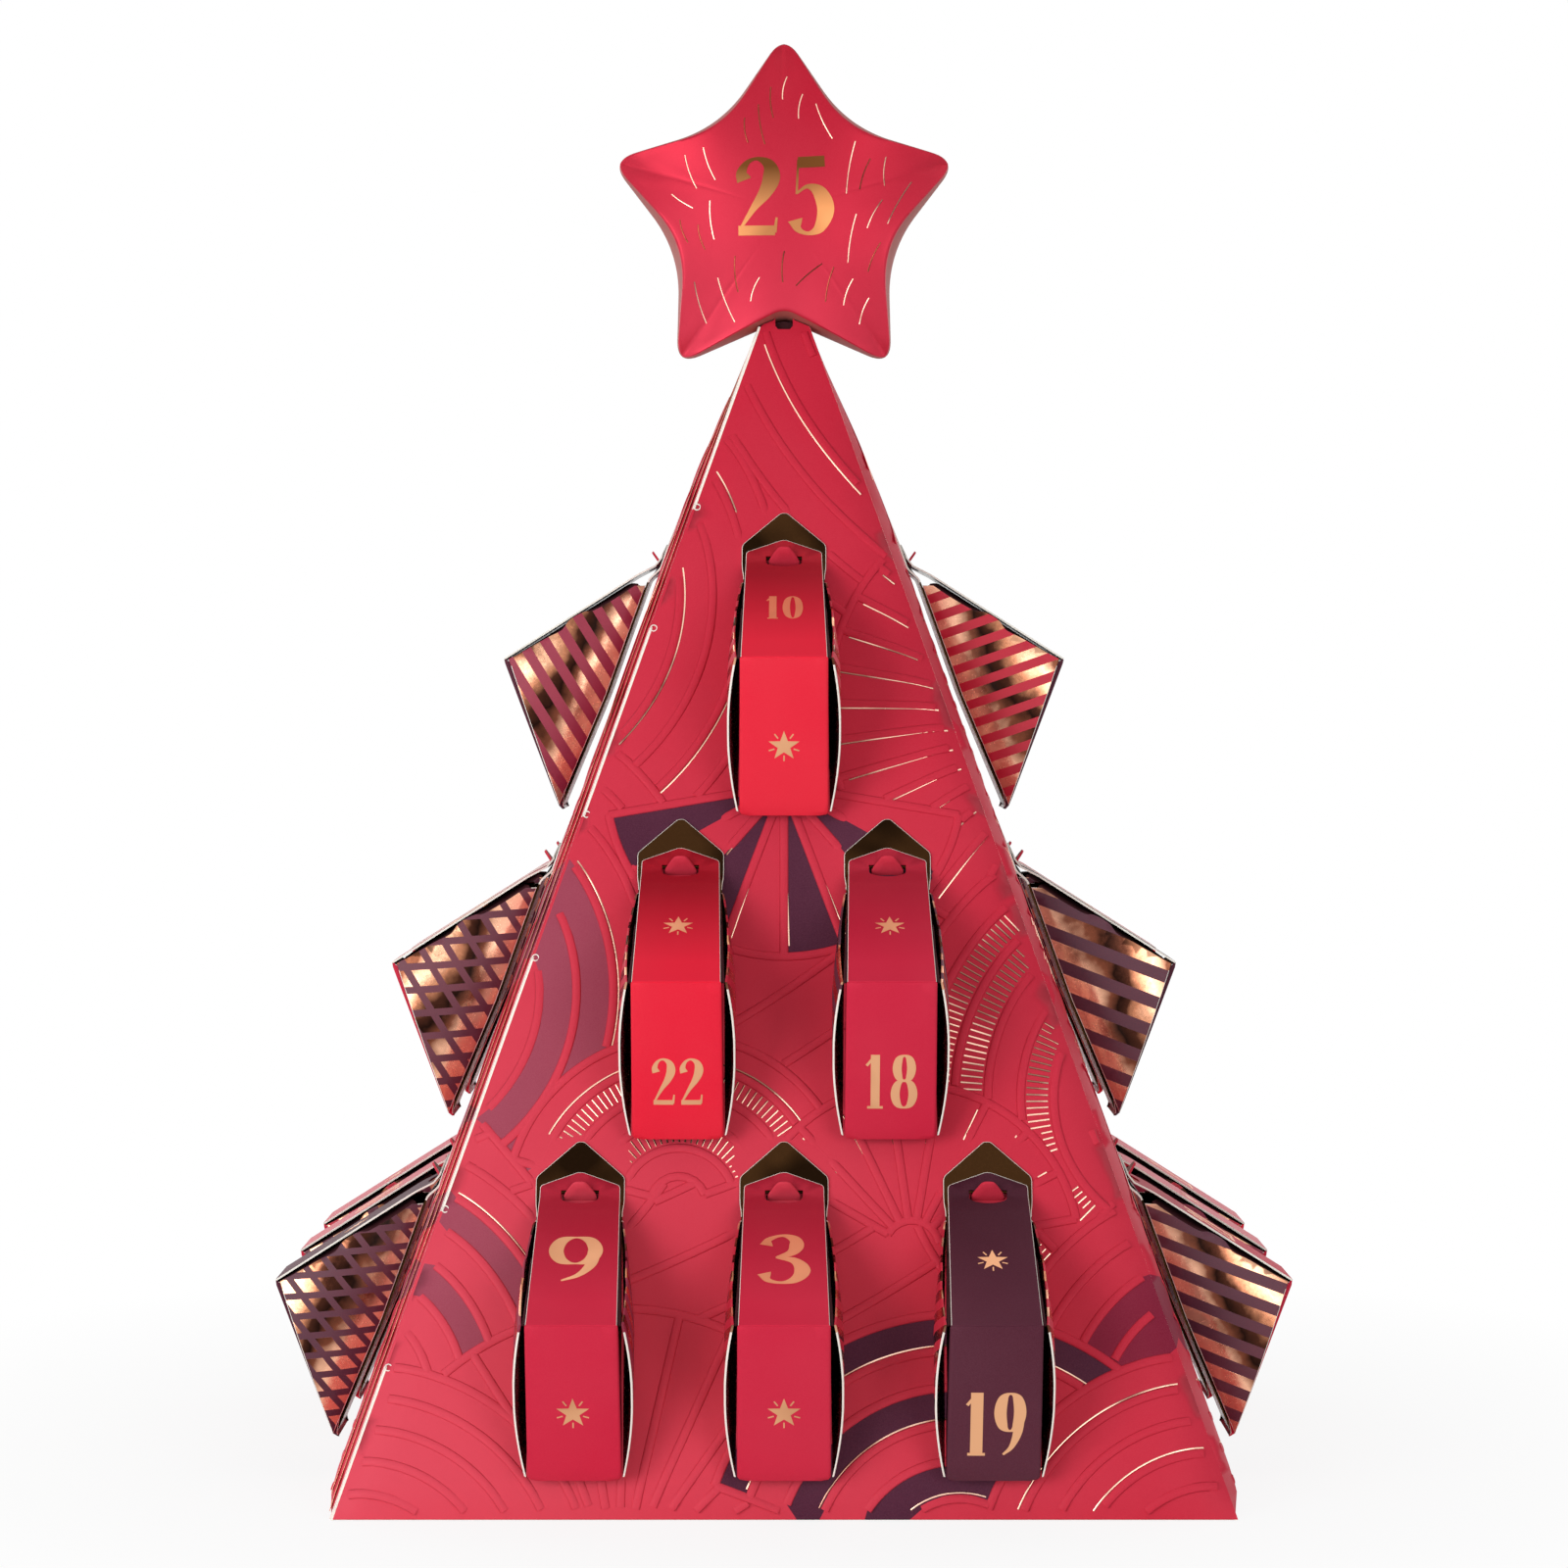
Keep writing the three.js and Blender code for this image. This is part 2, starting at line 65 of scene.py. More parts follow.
wallTurns = {"front": 0, "right": 90, "back": 180, "left": -90}
boxPlaces = [(0, 352), (-38.25, 230), (38.25, 230), (-73.4, 108), (0, 108), (73.4, 108)]

photo = {"lens": 87.03, "pitch": 0.0269, "away": 1.488, "height": 0.295, "sensor": 36}
lamps = {
    "keyLeft": {"at": (-1.3, -1.7, 0.4), "size": (1.1, 1.3), "watts": 26},
    "fillRight": {"at": (1.0, -2.1, 0.35), "size": (0.9, 1.4), "watts": 13},
    "overhead": {"at": (0.2, -0.5, 1.9), "size": (1.5, 1.2), "watts": 3.5},
    "backLeft": {"at": (-1.3, 1.5, 0.9), "size": (0.8, 1.2), "watts": 6},
    "backRight": {"at": (1.4, 1.3, 0.7), "size": (0.8, 1.2), "watts": 5},
}
studio = {
    "ambient": 0.32,
    "aim": (0, 0, 0.22),
    "floor": 6.0,
    "floorHeight": -0.0004,
    "glow": (0.2, 0.45, 0.88, 1),  # of the floor: from and to a distance, and its shares there
}


def addToScene(name, data):
    thing = bpy.data.objects.new(name, data)
    bpy.context.scene.collection.objects.link(thing)
    return thing


def makeCamera():
    data = bpy.data.cameras.new("photoCamera")
    data.sensor_width = photo["sensor"]
    data.lens = photo["lens"]
    data.clip_start, data.clip_end = 0.05, 60
    camera = addToScene("photoCamera", data)
    camera.location = (0, -photo["away"], photo["height"])
    camera.rotation_euler = (math.pi / 2 - photo["pitch"], 0, 0)
    bpy.context.scene.camera = camera


def makeLamps():
    for name, lamp in lamps.items():
        data = bpy.data.lights.new(name, "AREA")
        data.shape = "RECTANGLE"
        data.size, data.size_y = lamp["size"]
        data.energy = lamp["watts"]
        thing = addToScene(name, data)
        thing.location = lamp["at"]
        thing.rotation_euler = (Vector(studio["aim"]) - Vector(lamp["at"])).to_track_quat("-Z", "Y").to_euler()


def linear(color):
    channel = lambda v: v / 3294.6 if v <= 10 else ((v / 255 + 0.055) / 1.055) ** 2.4
    return tuple(channel(v) for v in color) + (1,)


# Gives sockets of a node a link or a value each.
def feed(tree, node, values):
    for key, value in values.items():
        if isinstance(value, bpy.types.NodeSocket):
            tree.links.new(value, node.inputs[key])
        else:
            node.inputs[key].default_value = value


def newNode(tree, kind, values, **settings):
    node = tree.nodes.new(kind)
    for key, value in settings.items():
        setattr(node, key, value)
    feed(tree, node, values)
    return node.outputs


def maths(tree, operation, *values):
    return newNode(tree, "ShaderNodeMath", dict(enumerate(values)), operation=operation)[0]


# The node for mixing has its own sockets for each kind of value.
mixSockets = {"FLOAT": (2, 3, 0), "RGBA": (6, 7, 2)}


def mixed(tree, share, first, second, kind="RGBA"):
    firstAt, secondAt, result = mixSockets[kind]
    return newNode(tree, "ShaderNodeMix", {0: share, firstAt: first, secondAt: second}, data_type=kind)[result]


def noise(tree, vector, scale, detail=2.0, roughness=0.5):
    values = {"Vector": vector, "Scale": scale, "Detail": detail, "Roughness": roughness}
    return newNode(tree, "ShaderNodeTexNoise", values)["Fac"]


def ranged(tree, *values):
    return newNode(tree, "ShaderNodeMapRange", dict(enumerate(values)))[0]


def separated(tree, vector):
    return newNode(tree, "ShaderNodeSeparateXYZ", {0: vector})


def objectPlace(tree):
    return newNode(tree, "ShaderNodeTexCoord", {})["Object"]


def printPlace(tree):
    return separated(tree, newNode(tree, "ShaderNodeUVMap", {}, uv_map="print")[0])


# Whether a ray comes from the camera or through a gloss or glass: such rays see a white studio.
def seenDirectly(tree):
    path = newNode(tree, "ShaderNodeLightPath", {})
    first = maths(tree, "MAXIMUM", path["Is Camera Ray"], path["Is Glossy Ray"])
    return maths(tree, "MAXIMUM", first, path["Is Transmission Ray"])


def makeWorld():
    world = bpy.data.worlds.new("paleStudio")
    world.use_nodes = True
    bpy.context.scene.world = world
    tree = world.node_tree
    span = maths(tree, "MULTIPLY", seenDirectly(tree), 1 - studio["ambient"])
    light = {"Color": (1, 1, 1, 1), "Strength": maths(tree, "ADD", span, studio["ambient"])}
    feed(tree, tree.nodes["Background"], light)


# A node group: its inputs are {label: (kind of socket, value)}, and fill() gives the value of each output.
def newGroup(name, kind, inputs, outputs, fill):
    group = bpy.data.node_groups.new(name, kind)
    for label, (socketKind, value) in inputs.items():
        socket = group.interface.new_socket(label, in_out="INPUT", socket_type="NodeSocket" + socketKind)
        if value is not None:
            socket.default_value = value
    for label, socketKind in outputs.items():
        group.interface.new_socket(label, in_out="OUTPUT", socket_type="NodeSocket" + socketKind)
    source = group.nodes.new("NodeGroupInput")
    target = group.nodes.new("NodeGroupOutput")
    for socket, value in zip(target.inputs, fill(group, source.outputs)):
        group.links.new(value, socket)
    return group


def placeGroup(tree, group, **values):
    return newNode(tree, "ShaderNodeGroup", values, node_tree=groups[group])


surface = {"Color": "Color", "Roughness": "Float", "Height": "Float"}
cardInputs = {
    "Vector": ("Vector", None),
    "Color": ("Color", (1, 0, 0, 1)),
    "Pale": ("Color", (1, 0.2, 0.2, 1)),
    "Fleck": ("Float", 0.12),
}
foilInputs = {
    "Vector": ("Vector", None),
    "Color": ("Color", (0.8, 0.5, 0.4, 1)),
    "Dark": ("Color", (0.1, 0.05, 0.03, 1)),
    "Contrast": ("Float", 0.5),
}


def cardGrain(group, given):
    fine = noise(group, given["Vector"], 2600, 2)
    cloud = noise(group, given["Vector"], 14, 3)
    share = maths(group, "MULTIPLY", ranged(group, fine, 0.3, 0.75), given["Fleck"])
    tone = maths(group, "ADD", share, ranged(group, cloud, 0.35, 0.7, 0, 0.1))
    return mixed(group, tone, given["Color"], given["Pale"]), ranged(group, fine, 0.3, 0.7, 0.44, 0.56), fine


# Foil colour: broad noise mixes a light and a dark tone as painted reflection; the brushed and wavy noise gives
# its roughness and bump.
def foilRipple(group, given):
    broad = noise(group, given["Vector"], 26, 2, 0.55)
    brushed = noise(group, given["Vector"], 900, 3)
    wave = noise(group, given["Vector"], 95, 1)
    share = maths(group, "MULTIPLY", ranged(group, broad, 0.47, 0.6), given["Contrast"])
    height = maths(group, "ADD", wave, maths(group, "MULTIPLY", brushed, 0.12))
    return mixed(group, share, given["Color"], given["Dark"]), ranged(group, brushed, 0.3, 0.7, 0.14, 0.3), height


def startMaterial(name, specular=0.4):
    material = bpy.data.materials.new(name)
    material.use_nodes = True
    shader = material.node_tree.nodes["Principled BSDF"]
    shader.inputs["Specular IOR Level"].default_value = specular
    return material, material.node_tree, shader


def bumped(tree, height, strength, distance):
    return newNode(tree, "ShaderNodeBump", {"Strength": strength, "Distance": distance, "Height": height})[0]


# Lift paints a sheen, paler low down and to the left; shade paints shade on a lid, darker towards its crease;
# and satin lets the metallised board shine through the print.
def cardMaterial(name, color, pale, fleck, lift=None, heights=(0.42, 0.02), shade=None, specular=0.08, satin=0.0):
    material, tree, shader = startMaterial(name, specular)
    place = objectPlace(tree)
    base = linear(color)
    # Painted sheen: the card turns paler low down and to the left.
    if lift:
        across, _, height = separated(tree, place)
        side = ranged(tree, across, 0.12, -0.16, 0.25, 1)
        base = mixed(tree, maths(tree, "MULTIPLY", ranged(tree, height, *heights), side), base, linear(lift))
    # Painted shade: a lid turns darker towards its crease.
    if shade:
        base = mixed(tree, ranged(tree, printPlace(tree)[1], 0.012, 0.058), base, linear(shade))
    out = placeGroup(tree, "card", Vector=place, Color=base, Pale=linear(pale), Fleck=fleck)
    rough = maths(tree, "MULTIPLY", out["Roughness"], 1 - 0.5 * satin)
    feed(tree, shader, {"Base Color": out["Color"], "Roughness": rough, "Metallic": satin})
    feed(tree, shader, {"Normal": bumped(tree, out["Height"], 0.25, 0.00005)})
    return material


# Fade paints shade on a foil, darker from one height to another, and without a bump it lies flat and even.
def foilMaterial(name, color, dark, contrast, bump=0.35, fade=None):
    material, tree, shader = startMaterial(name)
    place = objectPlace(tree)
    color, dark = linear(color), linear(dark)
    if fade:
        color = mixed(tree, ranged(tree, separated(tree, place)[2], *fade), color, dark)
    out = placeGroup(tree, "foil", Vector=place, Color=color, Dark=dark, Contrast=contrast)
    feed(tree, shader, {"Base Color": out["Color"], "Metallic": 1, "Roughness": 0.32})
    if bump:
        feed(tree, shader, {"Roughness": out["Roughness"], "Normal": bumped(tree, out["Height"], bump, 0.0004)})
    return material


def plainMaterial(name, color, roughness, fleck=0.08, bump=0.15):
    material, tree, shader = startMaterial(name, 0.3)
    grain = noise(tree, objectPlace(tree), 1500, 3)
    color = linear(color)
    darker = tuple(c * (1 - 3 * fleck) for c in color[:3]) + (1,)
    rough = ranged(tree, grain, 0.3, 0.7, roughness - 0.05, roughness + 0.06)
    tone = mixed(tree, ranged(tree, grain, 0.35, 0.7), color, darker)
    feed(tree, shader, {"Base Color": tone, "Roughness": rough, "Normal": bumped(tree, grain, bump, 0.0001)})
    return material


def stripeMask(tree, along, up, style, lean=0):
    turned = math.radians(style["angle"] + lean)
    first = maths(tree, "MULTIPLY", along, math.sin(-turned))
    second = maths(tree, "MULTIPLY", up, math.cos(turned))
    line = maths(tree, "DIVIDE", maths(tree, "ADD", first, second), style["pitch"] * mm)
    return maths(tree, "LESS_THAN", maths(tree, "FRACT", maths(tree, "ADD", line, 100)), style["share"])


# Stripes on a box's sides, or a lattice where they also cross at an angle.
sideStyles = {
    "stripeRed": {"angle": 0, "pitch": 7.3, "share": 0.52, "board": (197, 22, 52)},
    "stripeWine": {"angle": 39, "pitch": 7.9, "share": 0.5, "board": (138, 26, 58)},
    "stripePlum": {"angle": 40, "pitch": 10.5, "share": 0.55, "board": (70, 28, 48)},
    "finePlum": {"angle": 40, "pitch": 8.4, "share": 0.52, "board": (70, 28, 48)},
    "latticePlum": {"angle": 8, "cross": 31, "pitch": 8.8, "share": 0.7, "board": (66, 28, 48)},
    "latticeFine": {"angle": 4, "cross": 28, "pitch": 7.4, "share": 0.68, "board": (66, 28, 48)},
}
# Painted reflections on a side's foil, in bands from the wall outwards.
paintedReflectionBands = [
    (0.0, (226, 140, 124)), (0.14, (240, 160, 134)), (0.27, (250, 190, 156)), (0.4, (120, 66, 48)),
    (0.5, (34, 18, 14)), (0.6, (70, 38, 28)), (0.7, (190, 124, 92)), (0.84, (232, 176, 142)), (1.0, (96, 56, 40)),
]


# The colour of a side's foil is painted reflection: bands warped by noise and leaning with the height.
def sideFoil(tree, place, along, up):
    streak = ranged(tree, noise(tree, place, 60, 3, 0.6), 0.3, 0.7, -0.07, 0.07)
    cloud = ranged(tree, noise(tree, place, 22, 1), 0.3, 0.7, -0.12, 0.12)
    slant = ranged(tree, up, -0.096, 0, -0.1, 0.16)
    across = maths(tree, "ADD", maths(tree, "DIVIDE", along, 0.047), maths(tree, "ADD", streak, cloud))
    ramp = tree.nodes.new("ShaderNodeValToRGB")
    stops = ramp.color_ramp.elements
    while len(stops) < len(paintedReflectionBands):
        stops.new(0.5)
    for stop, (position, color) in zip(stops, paintedReflectionBands):
        stop.position, stop.color = position, linear(color)
    tree.links.new(maths(tree, "ADD", across, slant), ramp.inputs[0])
    return ramp.outputs[0]


def sideMaterial(name, style, mirrored):
    material, tree, shader = startMaterial(name)
    place = objectPlace(tree)
    up, out, _ = printPlace(tree)
    along = maths(tree, "MULTIPLY", out, -1) if mirrored else out
    if "cross" in style:
        mask = maths(tree, "MULTIPLY", *(stripeMask(tree, along, up, style, s * style["cross"]) for s in (1, -1)))
    else:
        mask = stripeMask(tree, along, up, style)
    color, dark = (linear(roseGold[key]) for key in ("color", "dark"))
    foil = placeGroup(tree, "foil", Vector=place, Color=color, Dark=dark, Contrast=0)
    board = {"Color": linear(style["board"]), "Pale": linear((230, 110, 120)), "Fleck": 0.06}
    card = placeGroup(tree, "card", Vector=place, **board)
    feed(tree, shader, {
        "Base Color": mixed(tree, mask, card["Color"], sideFoil(tree, place, out, up)),
        "Roughness": mixed(tree, mask, card["Roughness"], foil["Roughness"], "FLOAT"),
        "Metallic": maths(tree, "MULTIPLY", mask, ranged(tree, out, 0.005, 0.02, 0.4, 1)),
        "Normal": bumped(tree, maths(tree, "MULTIPLY", foil["Height"], mask), 0.3, 0.0004),
    })
    return material


rose, crimsonPale, plumPale = (238, 96, 112), (236, 100, 114), (140, 90, 104)
bright, crimson, plum = (238, 34, 60), (208, 36, 66), (82, 34, 50)
roseGold = {"color": (238, 172, 140), "dark": (58, 30, 22)}
# The star's lift paints a sheen, paler low down and to the left.
starShine = {"lift": (234, 66, 92), "heights": (0.535, 0.41), "specular": 0.14, "satin": 0.35}
cardFinishes = {
    # The wall's lift paints a sheen, paler low down and to the left.
    "wall": ("wallRedCard", (196, 24, 52), rose, 0.1, {"lift": (226, 76, 94)}),
    "wallPlum": ("wallPlumPrint", (72, 28, 50), (150, 90, 110), 0.14, {}),
    "wallMaroon": ("wallMaroonPrint", (130, 24, 52), (190, 90, 110), 0.14, {}),
    "wallDusty": ("wallDustyPrint", (156, 62, 84), (200, 120, 130), 0.14, {}),
    "boxRed": ("boxRedCard", bright, (250, 110, 116), 0.08, {}),
    "boxCrimson": ("boxCrimsonCard", crimson, crimsonPale, 0.08, {}),
    "boxPlum": ("boxPlumCard", plum, plumPale, 0.12, {}),
    # The lids' shade colours are painted shade, darker towards the crease.
    "lidRed": ("lidRedCard", bright, (240, 90, 100), 0.06, {"shade": (158, 8, 30)}),
    "lidCrimson": ("lidCrimsonCard", crimson, crimsonPale, 0.06, {"shade": (166, 16, 44)}),
    "lidRose": ("lidRoseCard", crimson, crimsonPale, 0.06, {"specular": 1.0}),
    "lidPlum": ("lidPlumCard", plum, plumPale, 0.1, {"shade": (66, 24, 38)}),
    "star": ("starRedCard", (176, 12, 40), rose, 0.08, starShine),
    "starSide": ("starSideBoard", (166, 84, 82), (206, 140, 124), 0.3, {}),
}
foilFinishes = {
    "foil": ("roseGoldFoil", roseGold["color"], roseGold["dark"], 0.35),
    "line": ("foilLine", (250, 206, 182), (112, 52, 40), 0.85),
    "darkLine": ("darkFoilLine", (150, 74, 56), (58, 22, 22), 0.7),
    "number": ("numberFoil", (236, 176, 132), (170, 106, 70), 0.4, 0.0),
    # The star's number fades darker towards its top: painted shade.
    "number25": ("starNumberFoil", (206, 138, 88), (112, 68, 34), 0.3, 0.0, (0.478, 0.494)),
    "inner": ("innerFoil", (66, 42, 22), (16, 9, 5), 0.8),
}
plainFinishes = {
    # Dark wine: on the dust flaps it is painted shade in place of their print; the star's stem is dressed in it
    # too.
    "gap": ("shadedFlap", (60, 14, 22), 0.8),
    "edge": ("cutBoardEdge", (255, 250, 240), 0.8, 0.02),
    "grey": ("greyBoard", (186, 178, 166), 0.9),
    "inside": ("insideBoard", (206, 198, 186), 0.9),
    # Painted shadow for the gap beside the seam's cut edge.
    "dark": ("seamShadow", (30, 10, 14), 0.9),
    "chocolate": ("darkChocolate", (66, 34, 20), 0.38, 0.06, 0.08),
    "milk": ("milkChocolate", (116, 66, 40), 0.4, 0.06, 0.08),
}


def makeMaterials():
    found = {key: cardMaterial(*values, **extra) for key, (*values, extra) in cardFinishes.items()}
    found.update({key: foilMaterial(*values) for key, values in foilFinishes.items()})
    found.update({key: plainMaterial(*values) for key, values in plainFinishes.items()})
    for name, style in sideStyles.items():
        for side in ("Left", "Right"):
            found[name + side] = sideMaterial(name + side, style, side == "Left")
    return found


def newPart():
    return {"points": [], "faces": [], "stuff": [], "print": []}


def addShape(part, points, faces, stuff, uv=None):
    start = len(part["points"])
    points = np.asarray(points, float)
    part["points"].extend(points.tolist())
    part["print"].extend((points[:, :2] if uv is None else np.asarray(uv, float)).tolist())
    part["faces"].extend(tuple(int(i) + start for i in face) for face in faces)
    part["stuff"].extend([stuff] * len(faces) if isinstance(stuff, int) else stuff)


# Says which body a piece moves with, and which node it replaces.
def handOver(piece, body, node=None):
    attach(piece, body)
    if node:
        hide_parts(node)


def finishPart(part, name, matrix, finishes, body, slot, node=None, angle=38):
    mesh = bpy.data.meshes.new(name)
    mesh.from_pydata((np.array(part["points"]) * mm).tolist(), [], part["faces"])
    mesh.polygons.foreach_set("material_index", part["stuff"])
    uv = mesh.uv_layers.new(name="print")
    corners = np.zeros(len(mesh.loops), int)
    mesh.loops.foreach_get("vertex_index", corners)
    uv.data.foreach_set("uv", (np.array(part["print"])[corners] * mm).ravel())
    cleaned = bmesh.new()
    cleaned.from_mesh(mesh)
    bmesh.ops.recalc_face_normals(cleaned, faces=cleaned.faces)
    cleaned.to_mesh(mesh)
    cleaned.free()
    mesh.polygons.foreach_set("use_smooth", [True] * len(mesh.polygons))
    mesh.set_sharp_from_angle(angle=math.radians(angle))
    mesh.transform(matrix)
    for finish in finishes:
        mesh.materials.append(materials[finish])
    mesh.update()
    handOver(addToScene(name, mesh), body, node)


def wallMatrix(wall):
    away = -pyramid["base"] / 2 * mm
    basis = Matrix(((1, 0, 0, 0), (0, sinSlope, -cosSlope, away), (0, cosSlope, sinSlope, 0), (0, 0, 0, 1)))
    return Matrix.Rotation(math.radians(wallTurns[wall]), 4, "Z") @ basis


# A smooth curve through points.
def curved(points, count=8, closed=False):
    points = np.asarray(points, float)
    if closed:
        ring = np.vstack([points[-1:], points, points[:2]])
    else:
        ring = np.vstack([2 * points[0] - points[1], points, 2 * points[-1] - points[-2]])
    found = []
    for a, b, c, d in zip(ring, ring[1:], ring[2:], ring[3:]):
        second, third = 2 * a - 5 * b + 4 * c - d, 3 * b - a - 3 * c + d
        for t in np.arange(count) / count:
            found.append(0.5 * (2 * b + (c - a) * t + second * t * t + third * t ** 3))
    return np.array(found if closed else found + [ring[-2]])


def resampled(loop, step):
    loop = np.asarray(loop, float)
    found = []
    for a, b in zip(loop, np.roll(loop, -1, 0)):
        count = max(1, int(np.ceil(np.linalg.norm(b - a) / step)))
        found.extend(a + (b - a) * t / count for t in range(count))
    return np.array(found)


# A loop with its corners rounded off by one reach, or each by its own.
def rounded(loop, reach, count=5):
    loop = np.asarray(loop, float)
    reaches = [reach] * len(loop) if np.isscalar(reach) else reach
    found = []
    for i, (corner, reach) in enumerate(zip(loop, reaches)):
        if reach <= 0:
            found.append(corner)
            continue
        sides = (loop[i - 1] - corner, loop[(i + 1) % len(loop)] - corner)
        first, last = (corner + side * min(0.45, reach / np.linalg.norm(side)) for side in sides)
        for t in np.linspace(0, 1, count):
            found.append((1 - t) ** 2 * first + 2 * t * (1 - t) * corner + t * t * last)
    return np.array(found)


# A whole outline from its right half.
def mirrored(right):
    right = list(right)
    return right + [(-x, y) for x, y in reversed(right)]


def loopArea(loop):
    x, y = loop[:, 0], loop[:, 1]
    return 0.5 * float(np.sum(x * np.roll(y, -1) - np.roll(x, -1) * y))


def insetLoop(loop, distance):
    ahead = np.roll(loop, -1, 0) - loop
    ahead /= np.maximum(np.linalg.norm(ahead, axis=1, keepdims=True), 1e-9)
    normal = np.stack([-ahead[:, 1], ahead[:, 0]], 1)
    both = normal + np.roll(normal, 1, 0)
    both /= np.maximum((both ** 2).sum(1, keepdims=True) / 2, 0.5)
    return loop + both * distance * np.sign(loopArea(loop))


def within(points, loop):
    x, y = points[:, 0][:, None], points[:, 1][:, None]
    x1, y1 = loop[:, 0], loop[:, 1]
    x2, y2 = np.roll(x1, -1), np.roll(y1, -1)
    crosses = (y1 > y) != (y2 > y)
    with np.errstate(divide="ignore", invalid="ignore"):
        at = (x2 - x1) * (y - y1) / (y2 - y1) + x1
    return (crosses & (x < at)).sum(1) % 2 == 1


# Inside the first loop and outside the others, which are holes.
def between(points, loops):
    keep = within(points, loops[0])
    for hole in loops[1:]:
        keep &= ~within(points, hole)
    return keep


def triangulated(loops, extra, lines=()):
    points, edges = [], []
    for i, line in enumerate([*loops, *lines]):
        start, count = len(points), len(line)
        points.extend(line.tolist())
        edges.extend((start + j, start + (j + 1) % count) for j in range(count - (i >= len(loops))))
    points.extend(extra.tolist())
    found = delaunay_2d_cdt([Vector(p) for p in points], edges, [], 0, 1e-5)
    flat = np.array([tuple(v) for v in found[0]])
    faces = np.array([f for f in found[2] if len(f) == 3], int)
    middle = flat[faces].mean(1)
    keep = between(middle, loops)
    return flat, faces[keep], middle[keep]


def gridInside(loops, step, margin=0.35):
    low, high = loops[0].min(0), loops[0].max(0)
    xs, ys = np.arange(low[0], high[0], step), np.arange(low[1], high[1], step)
    grid = np.array([(x + (j % 2) * step / 2, y) for j, y in enumerate(ys) for x in xs])
    inner = [insetLoop(loop, margin * step * (-1 if i else 1)) for i, loop in enumerate(loops)]
    return grid[between(grid, inner)]


def nearest(wanted, among):
    return ((wanted[:, None] - among[None]) ** 2).sum(2).argmin(1)


def bent(place, flat, depth):
    return place(flat[:, 0], flat[:, 1], np.full(len(flat), depth))


# A sheet of board: a front with a chamfered cut edge, and a back. place() bends it, stuff holds the finishes of
# front, back and edge, and folded() tells where the edge is a fold.
def boardSheet(part, loops, place, step, thickness, chamfer, stuff, folded=None, lines=()):
    signs = [1] + [-1] * (len(loops) - 1)
    loops = [loop if loopArea(loop) * sign > 0 else loop[::-1] for loop, sign in zip(loops, signs)]
    inner = [insetLoop(loop, chamfer * sign) for loop, sign in zip(loops, signs)]
    points, faces, kinds, uv, sheets = [], [], [], [], []

    def put(flat, depth):
        start = len(points)
        points.extend(bent(place, flat, depth).tolist())
        uv.extend(flat.tolist())
        return start

    for edges, depth, kind, order in ((inner, 0.0, stuff[0], 1), (loops, thickness, stuff[1], -1)):
        flat, tris, _ = triangulated(edges, gridInside(edges, step), lines)
        start = put(flat, depth)
        faces.extend((tris[:, ::order] + start).tolist())
        kinds.extend([kind] * len(tris))
        sheets.append((flat, start))
    (front, frontStart), (back, backStart) = sheets
    for loop, chamfered in zip(loops, inner):
        frontRow = nearest(chamfered, front) + frontStart
        middleRow = np.arange(len(loop)) + put(loop, chamfer)
        backRow = nearest(loop, back) + backStart
        for j in range(len(loop)):
            k = (j + 1) % len(loop)
            kind = stuff[0] if folded and folded(*((loop[j] + loop[k]) / 2)) else stuff[2]
            faces.append((middleRow[j], middleRow[k], frontRow[k], frontRow[j]))
            faces.append((backRow[j], backRow[k], middleRow[k], middleRow[j]))
            kinds.extend([kind, kind])
    addShape(part, points, faces, kinds, uv)


# Faces between rings of points that follow one another, joined end to end or capped, or left open.
def ringFaces(rings, count, joined=False, capped=False):
    faces = []
    for i in range(rings - (not joined)):
        a, b = count * i, count * ((i + 1) % rings)
        faces.extend((a + j, a + (j + 1) % count, b + (j + 1) % count, b + j) for j in range(count))
    if capped:
        faces += [tuple(range(count))[::-1], tuple((rings - 1) * count + j for j in range(count))]
    return faces


# Rings of points round the y axis: a profile of (radius, y), and swell() widens a ring's point by its turn.
def turnedRings(profile, count, swell):
    points = []
    for i, (radius, y) in enumerate(profile):
        for turn in (2 * math.pi * j / count for j in range(count)):
            wide = radius * swell(i, turn)
            points.append((wide * math.cos(turn), y, wide * math.sin(turn)))
    return points


# A foil line or patch lies on a sheet, with its underside sunk into the board.
foilSheet = {"lift": 0.07, "sunk": 0.15}


def foilRibbon(part, line, widths, place, stuff, closed=False, lift=foilSheet["lift"]):
    ahead = np.roll(line, -1, 0) - np.roll(line, 1, 0) if closed else np.gradient(line, axis=0)
    ahead /= np.maximum(np.linalg.norm(ahead, axis=1, keepdims=True), 1e-9)
    across = np.stack([-ahead[:, 1], ahead[:, 0]], 1) * np.asarray(widths, float)[:, None] / 2
    corners = ((1, -lift), (-1, -lift), (-1, foilSheet["sunk"]), (1, foilSheet["sunk"]))
    points = np.stack([bent(place, line + across * side, depth) for side, depth in corners], 1)
    addShape(part, points.reshape(-1, 3), ringFaces(len(line), 4, closed, not closed), stuff)


def foilPatch(part, loop, place, stuff, lift=foilSheet["lift"]):
    count = len(loop)
    flat = np.vstack([loop, loop.mean(0)])
    faces = []
    for i in range(count):
        k = (i + 1) % count
        faces.append((i, k, count))
        faces.append((count + 1 + k, count + 1 + i, 2 * count + 1))
        faces.append((i, count + 1 + i, count + 1 + k, k))
    addShape(part, np.vstack([bent(place, flat, depth) for depth in (-lift, foilSheet["sunk"])]), faces, stuff)


oval = [
    (0, 1, 0), (-0.72, 0.72, 0.75), (-1, 0, 1), (-0.72, -0.72, 0.75),
    (0, -1, 0), (0.72, -0.72, 0.75), (1, 0, 1), (0.72, 0.72, 0.75),
]


def ovalAt(x, y, wide, tall):
    return [(x + a * wide, y + b * tall, weight) for a, b, weight in oval]


